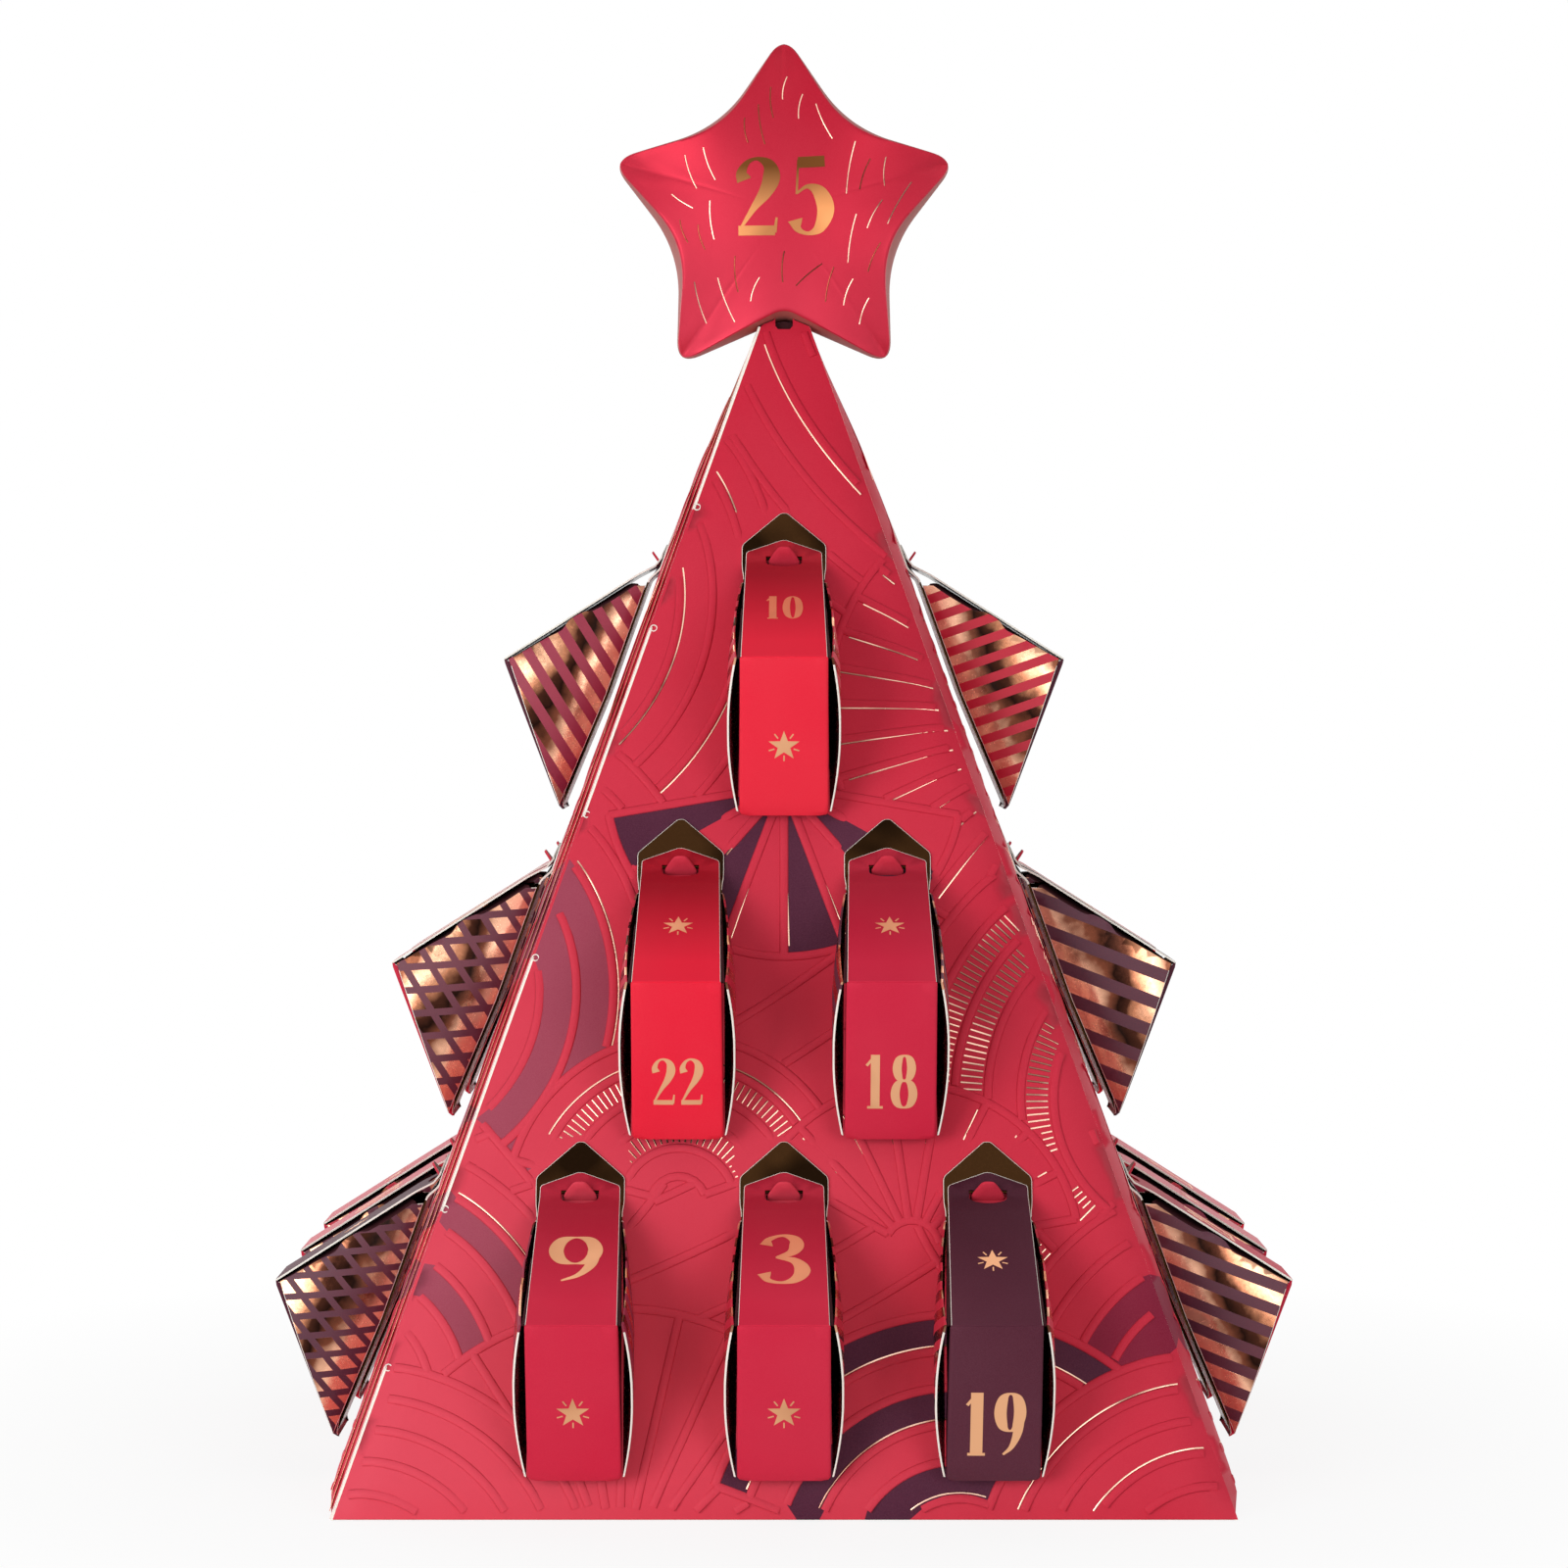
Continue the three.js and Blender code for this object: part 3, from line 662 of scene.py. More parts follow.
# Strokes of (across, up, how heavy) in a digit that is one unit high.
digitStrokes = {
    0: [("ring", ovalAt(0.3, 0.5, 0.22, 0.48))],
    1: [
        ("bar", [(0.27, 1, 1), (0.27, 0, 1)]),
        ("bar", [(0.27, 0.985, 0.1), (0.07, 0.8, 0.1)]),
        ("bar", [(0.09, 0.02, 0.1), (0.45, 0.02, 0.1)]),
    ],
    2: [
        ("line", [
            (0.13, 0.7, 0.85), (0.1, 0.8, 0.55), (0.17, 0.93, 0.2), (0.3, 0.98, 0.1), (0.44, 0.9, 0.65),
            (0.475, 0.74, 1), (0.4, 0.55, 0.75), (0.25, 0.34, 0.3), (0.08, 0.07, 0),
        ]),
        ("bar", [(0.06, 0.055, 0.5), (0.52, 0.055, 0.5)]),
        ("bar", [(0.515, 0.03, 0.1), (0.54, 0.22, 0)]),
    ],
    3: [
        ("line", [
            (0.12, 0.78, 0.8), (0.15, 0.9, 0.3), (0.29, 0.98, 0.1), (0.41, 0.9, 0.65), (0.43, 0.76, 0.9),
            (0.37, 0.62, 0.5), (0.22, 0.53, 0),
        ]),
        ("line", [
            (0.22, 0.53, 0), (0.41, 0.46, 0.5), (0.49, 0.27, 1), (0.42, 0.09, 0.6), (0.28, 0.018, 0.1),
            (0.14, 0.07, 0.3), (0.1, 0.21, 0.85),
        ]),
    ],
    4: [
        ("bar", [(0.39, 1, 0.9), (0.39, 0, 0.9)]),
        ("bar", [(0.36, 0.98, 0.12), (0.03, 0.3, 0.12)]),
        ("bar", [(0.02, 0.29, 0.12), (0.55, 0.29, 0.12)]),
    ],
    5: [
        ("bar", [(0.14, 0.93, 0.6), (0.47, 0.95, 0.6)]),
        ("bar", [(0.14, 0.97, 0), (0.12, 0.52, 0)]),
        ("line", [
            (0.12, 0.53, 0), (0.26, 0.62, 0.15), (0.41, 0.54, 0.8), (0.485, 0.33, 1), (0.41, 0.1, 0.6),
            (0.27, 0.018, 0.1), (0.14, 0.07, 0.3), (0.1, 0.19, 0.85),
        ]),
    ],
    6: [
        ("ring", ovalAt(0.3, 0.31, 0.2, 0.295)),
        ("line", [(0.11, 0.33, 0.9), (0.14, 0.62, 0.7), (0.26, 0.86, 0.3), (0.43, 0.985, 0)]),
    ],
    7: [
        ("bar", [(0.07, 0.93, 0.6), (0.5, 0.93, 0.6)]),
        ("bar", [(0.08, 0.97, 0), (0.07, 0.79, 0)]),
        ("line", [(0.49, 0.93, 0), (0.35, 0.62, 0.6), (0.27, 0.3, 0.95), (0.25, 0, 1)]),
    ],
    8: [("ring", ovalAt(0.3, 0.75, 0.165, 0.235)), ("ring", ovalAt(0.3, 0.27, 0.205, 0.255))],
}
digitStrokes[9] = [(kind, [(0.6 - x, 1 - y, weight) for x, y, weight in path]) for kind, path in digitStrokes[6]]
# Thickness of the thin and the thick strokes as shares of the height, and the lean.
numberStyles = [(0.03, 0.17, 0.0), (0.045, 0.13, 0.08), (0.03, 0.22, 0.0), (0.035, 0.15, 0.0)]
# Width and height of a number, and its style.
numberSizes = {
    10: (13.2, 16, 0), 22: (18.6, 18.6, 0), 18: (18.2, 21.4, 3),
    9: (21.5, 23.6, 2), 3: (20.5, 26, 2), 19: (20.3, 25.4, 0),
}


def drawNumber(part, number, middle, size, style, place, stuff, lift=foilSheet["lift"]):
    thin, thick, lean = style
    strokes = []
    for i, digit in enumerate(str(number)):
        for kind, stroke in digitStrokes[int(digit)]:
            path = np.array(stroke, float)
            path = curved(path, 7, kind == "ring") if kind != "bar" else np.linspace(path[0], path[1], 9)
            weight = thin + (thick - thin) * np.clip(path[:, 2], 0, 1)
            across = path[:, 0] + i * (0.56 + 0.5 * thick) + lean * (path[:, 1] - 0.5)
            strokes.append((kind, across, path[:, 1], weight))
    wide, tall = size
    low = min((x - w / 2).min() for _, x, _, w in strokes)
    high = max((x + w / 2).max() for _, x, _, w in strokes)
    for level, (kind, x, y, weight) in enumerate(strokes):
        line = np.stack([middle[0] + ((x - low) / (high - low) - 0.5) * wide, middle[1] + (y - 0.5) * tall], 1)
        foilRibbon(part, line, weight * tall, place, stuff, kind == "ring", lift + 0.012 * (level % 4))


# The ten corners of a star, from its upper tip.
def starLoop(radii, middle=(0, 0)):
    turns = np.pi / 2 + np.arange(10) * np.pi / 5
    return np.stack([middle[0] + radii * np.cos(turns), middle[1] + radii * np.sin(turns)], 1)


emblem = {"inner": 0.4, "rays": (0.62, 0.98), "wide": 0.5}  # shares of its size, and the width of a ray


def drawEmblem(part, middle, size, place, stuff):
    foilPatch(part, starLoop([size, size * emblem["inner"]] * 5, middle), place, stuff)
    for turn in np.linspace(0, 2 * np.pi, 5, endpoint=False) + np.pi / 2 + np.pi / 5:
        ray = np.array([[math.cos(turn), math.sin(turn)]])
        line = np.array(middle) + ray * np.array([[size * share] for share in emblem["rays"]])
        foilRibbon(part, line, [emblem["wide"]] * 2, place, stuff)


# Profile corners are (up, out) from the crease on the wall.
box = {
    "fold": (-48.0, 47.1),
    "crease": (0.0, 8.8),
    "bottom": (-96.5, 6.8),
    "numbers": {
        "front": (10, 22, 18, 9, 3, 19),
        "right": (4, 15, 7, 21, 12, 1),
        "back": (16, 2, 24, 13, 6, 20),
        "left": (8, 11, 23, 5, 17, 14),
    },
    "sides": {
        "front": ["stripeRed", "stripeRed", "finePlum", "stripeWine", "stripeRed", "stripeRed"],
        "right": ["stripeRed", "stripePlum", "latticeFine", "finePlum", "stripeWine", "stripeRed"],
        "back": ["latticePlum", "stripeWine", "stripePlum", "stripeRed", "finePlum", "latticeFine"],
        "left": ["stripeWine", "finePlum", "latticePlum", "stripeRed", "stripePlum", "latticeFine"],
    },
    "plum": (19, 4, 15, 16, 24, 8, 14),
    "roseLids": (5, 17, 12, 1, 7, 11),
    "onLid": (10, 9, 3, 4, 21, 16, 13, 6, 8, 23, 17, 1),  # numbers that are on the lid and upright
}
frontLong = math.dist(box["fold"], box["bottom"])
lidLong = math.dist(box["fold"], box["crease"])


# A path through (up, out) corners, softened at each. It gives the function that bends a sheet along it, and the
# one that tells how long the path is up to a height.
def bentPath(corners, reach):
    points = rounded(corners, [0] + [reach] * (len(corners) - 2) + [0], 7)
    length = np.concatenate([[0], np.cumsum(np.linalg.norm(np.diff(points, axis=0), axis=1))])
    ahead = np.gradient(points, length, axis=0)
    ahead /= np.linalg.norm(ahead, axis=1, keepdims=True)

    def place(x, s, depth):
        up, out, aheadUp, aheadOut = (np.interp(s, length, values) for values in (*points.T, *ahead.T))
        return np.stack([x, up + aheadOut * depth, out - aheadUp * depth], 1)

    return place, lambda up: float(np.interp(up, points[:, 0], length))


# Lines across a sheet, where it bends.
def crossLines(half, lengths):
    return [np.array([(x, s) for x in np.linspace(-half, half, 9)]) for s in lengths]


backSheet = {
    "board": 0.8,
    "path": [box["bottom"], (-48.25, 3.8), (0.0, 3.2), (5.0, 0.3), (27.5, 0.3)],
    "outline": [(15.4, 0), (16.0, 4.0), (16.0, 13.5), (1.2, 26.5)],  # (half width, up)
    "foot": (15.9, 1.8),
    "hole": (6.8, 4.0, 7.68),  # half width, from and to
    "bends": (-1.2, -0.4, 0.4, 1.2),
}
placeBack, backAt = bentPath([(up, out + backSheet["board"]) for up, out in backSheet["path"]], 1.2)


def trayBack(part):
    loop = np.array(mirrored([backSheet["foot"]] + [(x, backAt(up)) for x, up in backSheet["outline"]]))
    half, low, high = backSheet["hole"]
    hole = [(-half, backAt(low)), (half, backAt(low)), (half, backAt(high)), (-half, backAt(high))]
    loop = resampled(rounded(loop, [0, 3, 3, 1.4, 0.8, 0.8, 1.4, 3, 3, 0]), 5)
    dull = lambda x, s: s < backAt(-1) or (abs(x) < half + 0.6 and backAt(low - 0.6) < s < backAt(high + 0.62))
    lines = crossLines(14, [backAt(up) for up in backSheet["bends"]])
    loops = [loop, resampled(rounded(hole, 0.8, 3), 2)]
    boardSheet(part, loops, placeBack, 8, 0.7, 0.2, (0, 1, 2), dull, lines)


frontSheet = {
    "board": 0.8,
    "half": (16.1, 16.6),  # at the fold and at the bottom
    "round": 1.2,  # and how far it sinks in and grows narrower at the bottom
    "sink": 0.8,
    "bend": 0.9,
    "crown": 0.35,
    "cut": 16.3,
    "tuck": 11.0,
    "slant": (13, 17),  # of a tucked flap's ends, from the fold and from the bottom
    "bends": (1.0, 0.55, 0.1, -0.35),  # in from the cut
}


def frontPlace(x, s, depth):
    fold, bottom = np.array(box["fold"]), np.array(box["bottom"])
    ahead = (bottom - fold) / frontLong
    normal = np.array([-ahead[1], ahead[0]])
    low = np.clip((s - frontLong + 3) / 3, 0, 1) ** 2
    narrow, wide = frontSheet["half"]
    half = narrow + (wide - narrow) * s / frontLong - frontSheet["round"] * low
    bend = frontSheet["bend"]
    past = np.abs(x) - (half - bend)
    turn = np.clip(past / bend, 0, np.pi / 2)
    reach = half - bend + (bend - depth) * np.sin(turn)
    tucked = bend - (bend - depth) * np.cos(turn) + np.maximum(past - bend * np.pi / 2, 0)
    across, inward = (np.where(past <= 0, *each) for each in ((x, np.sign(x) * reach), (depth, tucked)))
    crown = frontSheet["crown"] * np.sin(np.pi * np.clip(s / frontLong, 0, 1))
    crown = crown * np.cos(np.clip(x / half, -1, 1) * np.pi / 2)
    inward = inward + frontSheet["sink"] * low
    return np.column_stack([across, fold + np.outer(s, ahead) - np.outer(crown - inward, normal)])


def trayFront(part):
    half, tuck, long = frontSheet["cut"], frontSheet["tuck"], frontLong
    high, low = frontSheet["slant"]
    side = [(half, 0.3), (half + 1.2, 1.5), (half + tuck, high)]
    side += [(half + tuck, long - low), (half + 1.2, long - 1.5), (half, long - 0.2)]
    loop = resampled(rounded(mirrored(side), [0, 0.5, 3, 3, 0.5, 0] * 2, 4), 3.5)
    folds = lambda x, s: s < 0.8 or s > long - 0.8
    across = [-half + inset for inset in frontSheet["bends"]] + [half - inset for inset in frontSheet["bends"]]
    lines = [np.array([(x, s) for s in np.linspace(2, long - 2, 16)]) for x in across]
    boardSheet(part, [loop], frontPlace, 4, frontSheet["board"], 0.2, (3, 1, 2), folds, lines)


sideSheet = {
    "corners": ((-0.6, 4.6), (-96.2, 7.0), (-48.4, 46.3)),  # at the top, the bottom and the fold
    "half": (15.7, 17.3, 17.8),  # there
    "bow": 3.3,
    "limit": 20.9,
    "dent": 0.35,
    "back": [(-3, 4.2), (-48.25, 4.8), (-94.6, 7.9)],
    # The upper edge lies under the lid at these distances, from the fold to the crease.
    "edge": [
        (0.03, 1.3), (0.12, 1.8), (0.3, 2.3), (0.4, 2.9), (0.44, 2.3), (0.48, 1.3),
        (0.54, 1.1), (0.6, 1.7), (0.65, 3.1), (0.8, 3.6), (0.95, 3.4),
    ],
}


def sideAcross(up, out):
    t, b, f = np.array(sideSheet["corners"])
    cross = lambda p, q: p[0] * q[1] - q[0] * p[1]
    here = (up - t[0], out - t[1])
    atB = np.clip(cross(here, f - t) / cross(b - t, f - t), 0, 1)
    atF = np.clip(cross(b - t, here) / cross(b - t, f - t), 0, 1)
    atT = np.clip(1 - atB - atF, 0, 1)
    bow = 4 * (sideSheet["bow"] * atB * atF + 1.6 * atT * atF + 0.7 * atT * atB) + 40 * atT * atB * atF
    base = sum(half * share for half, share in zip(sideSheet["half"], (atT, atB, atF)))
    crease = np.abs((out - f[1]) * 0.93 - (up - f[0]) * 0.36)
    dent = sideSheet["dent"] * np.exp(-((crease / 0.8) ** 2)) * np.clip((f[1] - out) / 6, 0, 1)
    return np.minimum(base + bow, sideSheet["limit"]) - dent


def underLid(along, under):
    fold, crease = np.array(box["fold"]), np.array(box["crease"])
    ahead = (crease - fold) / np.linalg.norm(crease - fold)
    return fold[0] + ahead[0] * along + ahead[1] * under, fold[1] + ahead[1] * along - ahead[0] * under


def traySide(part, side):
    edge = curved([underLid(t * lidLong, drop) for t, drop in sideSheet["edge"]], 4)
    loop = resampled(np.vstack([edge, sideSheet["back"]]), 3.0)
    place = lambda up, out, depth: np.stack([side * (sideAcross(up, out) - depth), up, out], 1)
    atTop = lambda up, out: (up - box["fold"][0]) * 0.624 + (out - box["fold"][1]) * 0.782 > -4.2
    boardSheet(part, [loop], place, 4, 0.7, 0.25, (4 if side < 0 else 5, 1, 2), atTop)


flap = {
    "outline": [(2, 17.2), (lidLong - 1.5, 15.0), (lidLong - 5, 3.0), (7, 3.0)],
    "rounds": [0.5, 0.5, 5, 5],
    "under": 1.05,
}


# A dust flap's top and cut edge take the dark wine of painted shade.
def dustFlap(part, side):
    starts, drops = np.array(sideSheet["edge"]).T

    def place(s, x, depth):
        outer = np.interp(s / lidLong, starts, drops) + 0.2
        sink = flap["under"] + (outer - flap["under"]) * np.clip((x - 3) / 13, 0, 1) ** 1.6 + depth
        return np.stack([side * x, *underLid(s, sink)], 1)

    boardSheet(part, [resampled(rounded(flap["outline"], flap["rounds"], 4), 4)], place, 5, 0.6, 0.2, (7, 1, 7))


def makeTray():
    part = newPart()
    trayBack(part)
    trayFront(part)
    for side in (-1, 1):
        traySide(part, side)
        dustFlap(part, side)
    return part


lidSheet = {
    "path": [box["fold"], box["crease"], (6.83, 2.2), (18, 2.2)],
    "half": (15.8, 14.6, 14.4, 1.0),  # at the fold, the crease, the shoulder and the tip
    "shoulder": 3.4,
    "tip": 8.2,
    "hole": (6.8, 4.3, 1.65, 3.6),  # half width, from over the crease to over the bend, and its arc's height
    "bends": (-0.9, -0.3, 0.3, 0.9),
}
placeLid, lidAt = bentPath(lidSheet["path"], 0.9)


def makeLid():
    part = newPart()
    creaseAt, bendAt = lidAt(0), lidAt(lidSheet["path"][2][0])
    ends = (0.3, creaseAt, bendAt + lidSheet["shoulder"], bendAt + lidSheet["tip"])
    loop = resampled(rounded(mirrored(zip(lidSheet["half"], ends)), [0, 4, 1.2, 0.7, 0.7, 1.2, 4, 0], 5), 4)
    half, low, high, arch = lidSheet["hole"]
    low, high = creaseAt + low, bendAt + high
    turns = np.linspace(0.12, np.pi - 0.12, 13)
    hole = [(half * math.cos(t), low + arch - arch * math.sin(t)) for t in turns] + [(-half, high), (half, high)]
    folds = lambda x, s: s < 0.8 or (abs(x) < half + 0.5 and low - 0.5 < s < high + 0.5)
    lines = crossLines(13.6, [creaseAt + bend for bend in lidSheet["bends"]])
    boardSheet(part, [loop, resampled(hole, 1.5)], placeLid, 7, 0.65, 0.18, (0, 1, 2), folds, lines)
    return part


praline = {
    "radius": 12.2,
    "tall": 11.2,
    "at": (-60.5, 18.6),
    "turns": 30,
    "rings": 22,
    "ripple": 0.035,
    "ribs": (6, 5),  # how many, and their twist
}


def makePraline():
    part = newPart()
    count, rings, tall = praline["turns"], praline["rings"], praline["tall"]
    angles = [math.pi * j / rings for j in range(1, rings)]
    profile = [(praline["radius"] * math.sin(angle), tall * math.cos(angle)) for angle in angles]
    ribs, twist = praline["ribs"]
    wave = lambda i, turn: math.cos(ribs * turn + twist * angles[i]) * math.sin(angles[i]) ** 2
    points = turnedRings(profile, count, lambda i, turn: 1 + praline["ripple"] * wave(i, turn))
    points.extend([(0, tall, 0), (0, -tall, 0)])
    faces = []
    for i in range(count):
        k = (i + 1) % count
        faces.append((len(points) - 2, i, k))
        for j in range(rings - 2):
            faces.append((j * count + i, (j + 1) * count + i, (j + 1) * count + k, j * count + k))
        faces.append(((rings - 2) * count + k, (rings - 2) * count + i, len(points) - 1))
    addShape(part, np.array(points) + np.array([0, *praline["at"]]), faces, 0)
    return part


# Colour of the board: plum, bright red or crimson.
def boxBoard(number):
    if number in box["plum"]:
        return "boxPlum"
    return "boxRed" if number % 3 == 1 or number == 22 else "boxCrimson"


def makeBoxes():
    blanks = (makeTray(), makeLid())
    filling = makePraline()
    for wall, numbers in box["numbers"].items():
        for number, (across, crease), pattern in zip(numbers, boxPlaces, box["sides"][wall]):
            matrix = wallMatrix(wall) @ Matrix.Translation((across * mm, crease * mm, pyramid["rise"] * mm))
            tray, lid = ({key: list(value) for key, value in blank.items()} for blank in blanks)
            wide, tall, kind = numberSizes.get(number, (14 if number < 10 else 18.5, 21, number % 4))
            look = ((wide, tall), numberStyles[kind])
            if number in box["onLid"]:
                drawNumber(lid, number, (0, 34.8), *look, placeLid, 3)
                drawEmblem(tray, (0, frontLong * 0.55), -6.0, frontPlace, 6)
            else:
                turned = lambda x, s, depth: frontPlace(x, frontLong * 1.24 - s, depth)
                drawNumber(tray, number, (0, frontLong * 0.62), *look, turned, 6)
                drawEmblem(lid, (0, 34), 5.6, placeLid, 3)
            board = boxBoard(number)
            slot = "plum_board" if board == "boxPlum" else "crimson_board"
            top = "lidRose" if number in box["roseLids"] else board.replace("box", "lid")
            slots = ["inner", "inner", "edge", board, pattern + "Left", pattern + "Right", "number", "gap"]
            trayNode, lidNode = f"tray_{number:02d}", f"lid_{number:02d}"
            finishPart(tray, trayNode + "_card", matrix, slots, trayNode, slot, trayNode)
            finishPart(lid, lidNode + "_card", matrix, [top, "inner", "edge", "number"], lidNode, slot, lidNode)
            sweet = "milk" if number % 2 else "chocolate"
            finishPart(filling, f"praline_{number:02d}", matrix, [sweet], trayNode, "chocolate")
        print("boxes of the", wall, "wall are hung")


hook = {
    "root": 5.1,
    "lean": math.radians(54),
    "length": 8.4,
    "half": 6.0,
    "neck": 2.7,
    "tipHalf": 2.6,
    "gap": 0.3,
    "bend": 1.5,
}


def halfWidthAt(up):
    return pyramid["base"] / 2 - up * sinSlope


def wallRise(x, y):
    side = (halfWidthAt(y) - np.abs(x)) * math.cos(math.atan(sinSlope))
    top = (upperEdge + 2 - y) * 1.4
    inside = np.clip(np.minimum(np.minimum(side, y), top), 0, pyramid["rim"])
    least, span = pyramid["narrow"]
    narrow = np.clip((halfWidthAt(y) - least) / span, 0, 1)
    return pyramid["rise"] * (1 - (1 - inside / pyramid["rim"]) ** 3) * narrow * narrow * (3 - 2 * narrow)


def onWall(flat, lift=0.0):
    return np.column_stack([flat, wallRise(flat[:, 0], flat[:, 1]) + lift])


def hookLoop(grow):
    wide, tip, top = hook["half"] + grow, hook["tipHalf"] + grow, hook["length"] + grow
    right = [(wide, 0), (wide, hook["neck"] * 0.6), (wide - 0.9, hook["neck"] + 0.8)]
    return np.array(mirrored(right + [(tip + 0.7, top - 1.9), (tip - 0.3, top - 0.5), (tip * 0.45, top)]))


def hookTongue(part, across, crease):
    def place(x, s, depth):
        lean = hook["lean"]
        bend = np.clip(s / hook["bend"], 0, 1) * lean
        up = crease + hook["root"] + s * math.cos(lean) + depth * np.sin(bend)
        out = pyramid["rise"] + s * math.sin(lean) - depth * np.cos(bend)
        return np.stack([across + x, up, out], 1)

    boardSheet(part, [resampled(rounded(hookLoop(0), 0.5, 3), 1.6)], place, 2.5, 0.9, 0.3, (0, 1, 0))


# The print: fans of arcs or rays round a centre, the later ones over the earlier ones. A letter per band tells
# its print, p plum, m maroon, d dusty and h hatched, and f is a foil line.
fanValues = [
    ((-250, 560), (60, 900), (-180, 180), "arcs", 23, "", ""),
    ((150, 500), (50, 262), (180, 300), "arcs", 14, "..m.m.......", "..f.f...f..."),
    ((-120, 345), (18, 118), (-95, 40), "arcs", 12.5, "........", ".f.f.f.f."),
    ((112, 300), (12, 96), (125, 250), "rays", 9, "", "f"),
    ((-150, 190), (20, 128), (-50, 62), "arcs", 13, "...dd...", "..f..f.."),
    ((0, 270), (10, 66), (190, 350), "rays", 20, "p.p.p.p.", "f"),
    ((150, 150), (16, 112), (95, 230), "arcs", 12, "...h.hh.", ""),
    ((-38, 112), (10, 62), (20, 165), "arcs", 10.5, ".h.h.", "....f"),
    ((46, 96), (10, 60), (10, 150), "rays", 18, "", "f"),
    ((-165, 40), (16, 100), (-30, 75), "arcs", 12, "...d.d.", "......f"),
    ((165, 30), (16, 92), (100, 200), "arcs", 12, "..mm...", ".f....f"),
    ((-58, -22), (18, 96), (20, 158), "rays", 12, "", ""),
    ((62, -20), (14, 92), (22, 160), "arcs", 13, ".p.p.p", ".f.f.f"),
    ((-150, -30), (16, 84), (0, 95), "arcs", 12, "", ""),
    ((152, -28), (16, 86), (85, 180), "arcs", 12, "", ".f.f.f"),
]
fans = [dict(zip(("at", "radii", "turn", "kind", "pitch", "print", "foil"), values)) for values in fanValues]
printSlots = {"p": 3, "m": 4, "d": 5}
relief = {
    "step": 2.6,
    "wide": 3.3,
    "tall": 0.5,
    "lineWide": 0.75,
    "lineTall": 0.16,
    "hatch": 2.4,
    "inset": (2.6, 6.5),  # of the print from a wall's edge, on the front and back and on the sides
    "dip": 0.45,  # under the hanging flaps, so that these lie close
    "flap": (17.5, 8, 28),  # the field of a flap: half width, and how far below and above the crease
    "foilIn": (2.0, 2.2, 12, 4),  # how far foil lines start and end inside a band or fan
}


def fanPolar(fan, points):
    offset = points - np.array(fan["at"])
    return np.hypot(offset[:, 0], offset[:, 1]), np.degrees(np.arctan2(offset[:, 1], offset[:, 0]))


def fanHolds(fan, points, grow=0.0):
    radius, angle = fanPolar(fan, points)
    low, high = fan["turn"]
    angle = (angle - low) % 360
    side = np.degrees(grow / np.maximum(radius, 1))
    inSweep = (high - low >= 360) | (angle <= high - low + side) | (angle >= 360 - side)
    return (radius >= fan["radii"][0] - grow) & (radius <= fan["radii"][1] + grow) & inSweep


def fanPoint(fan, radius, turn):
    return np.array(fan["at"]) + radius * np.stack([np.cos(turn), np.sin(turn)], 1)


def arcPoints(fan, radius):
    low, high = np.radians(fan["turn"])
    return fanPoint(fan, radius, np.linspace(low, high, max(3, int(radius * (high - low) / relief["step"]))))


def rayPoints(fan, angle, low, high, step=relief["step"]):
    radii = np.linspace(low, high, max(3, int((high - low) / step)))
    return fanPoint(fan, radii[:, None], np.array([math.radians(angle)]))


# The stretches of a fan's line that lie on the wall and under no later fan.
def shownRuns(index, line, edge, least):
    shows = within(line, edge)
    for later in fans[index + 1:]:
        shows &= ~fanHolds(later, line, 0.1)
    runs = np.split(np.arange(len(line)), np.flatnonzero(np.diff(shows)) + 1)
    return [line[run] for run in runs if shows[run[0]] and len(run) >= least]


def fanBands(fan):
    low, high = fan["radii"] if fan["kind"] == "arcs" else fan["turn"]
    return np.linspace(low, high, max(1, round((high - low) / fan["pitch"])) + 1)


def kindOf(pattern, i):
    return pattern[i % len(pattern)] if pattern else "."


# Ridge lines of a fan, and its foil lines and hatching.
def fanLines(fan):
    bands = fanBands(fan)
    low, high = fan["radii"]
    beside, hatched, inner, outer = relief["foilIn"]
    if fan["kind"] == "rays":
        turns = bands[1:-1] + math.degrees(beside / high) if fan["foil"] else ()
        ridges = [rayPoints(fan, a, low, high) for a in bands] + [arcPoints(fan, r) for r in (low, high)]
        return ridges, [rayPoints(fan, turn, low + inner, high - outer) for turn in turns]
    ridges, foils = [arcPoints(fan, r) for r in bands], []
    first, last = fan["turn"]
    for i, (near, far) in enumerate(zip(bands, bands[1:])):
        if kindOf(fan["foil"], i) == "f":
            foils.append(arcPoints(fan, near + beside)[1:-1])
        if kindOf(fan["print"], i) == "h":
            step = math.degrees(relief["hatch"] / ((near + far) / 2))
            for angle in np.arange(first + step, last - step, step):
                foils.append(rayPoints(fan, angle, near + hatched, far - beside, beside))
    if last - first < 360:
        ridges += [rayPoints(fan, turn, low, high) for turn in fan["turn"]]
    return ridges, foils


def drawFans(edge):
    found = ([], [])
    for index, fan in enumerate(fans):
        for runs, lines, least in zip(found, fanLines(fan), (3, 2)):
            for line in lines:
                runs += shownRuns(index, line, edge, least)
    return found


def printKinds(middle):
    kinds = np.zeros(len(middle), int)
    for fan in fans:
        held = fanHolds(fan, middle)
        radius, angle = fanPolar(fan, middle)
        value = radius if fan["kind"] == "arcs" else (angle - fan["turn"][0]) % 360 + fan["turn"][0]
        band = np.searchsorted(fanBands(fan), value) - 1
        for i in np.unique(band[held]):
            kinds[held & (band == i)] = printSlots.get(kindOf(fan["print"], i), 0)
    return kinds


# Sweeps a low rounded profile along every line: ridges of the relief and hairlines of foil.
sweepInputs = {
    "Lines": ("Geometry", None),
    "Width": ("Float", 0.0026),
    "Height": ("Float", 0.0005),
    "Sides": ("Int", 8),
    "Finish": ("Material", None),
}


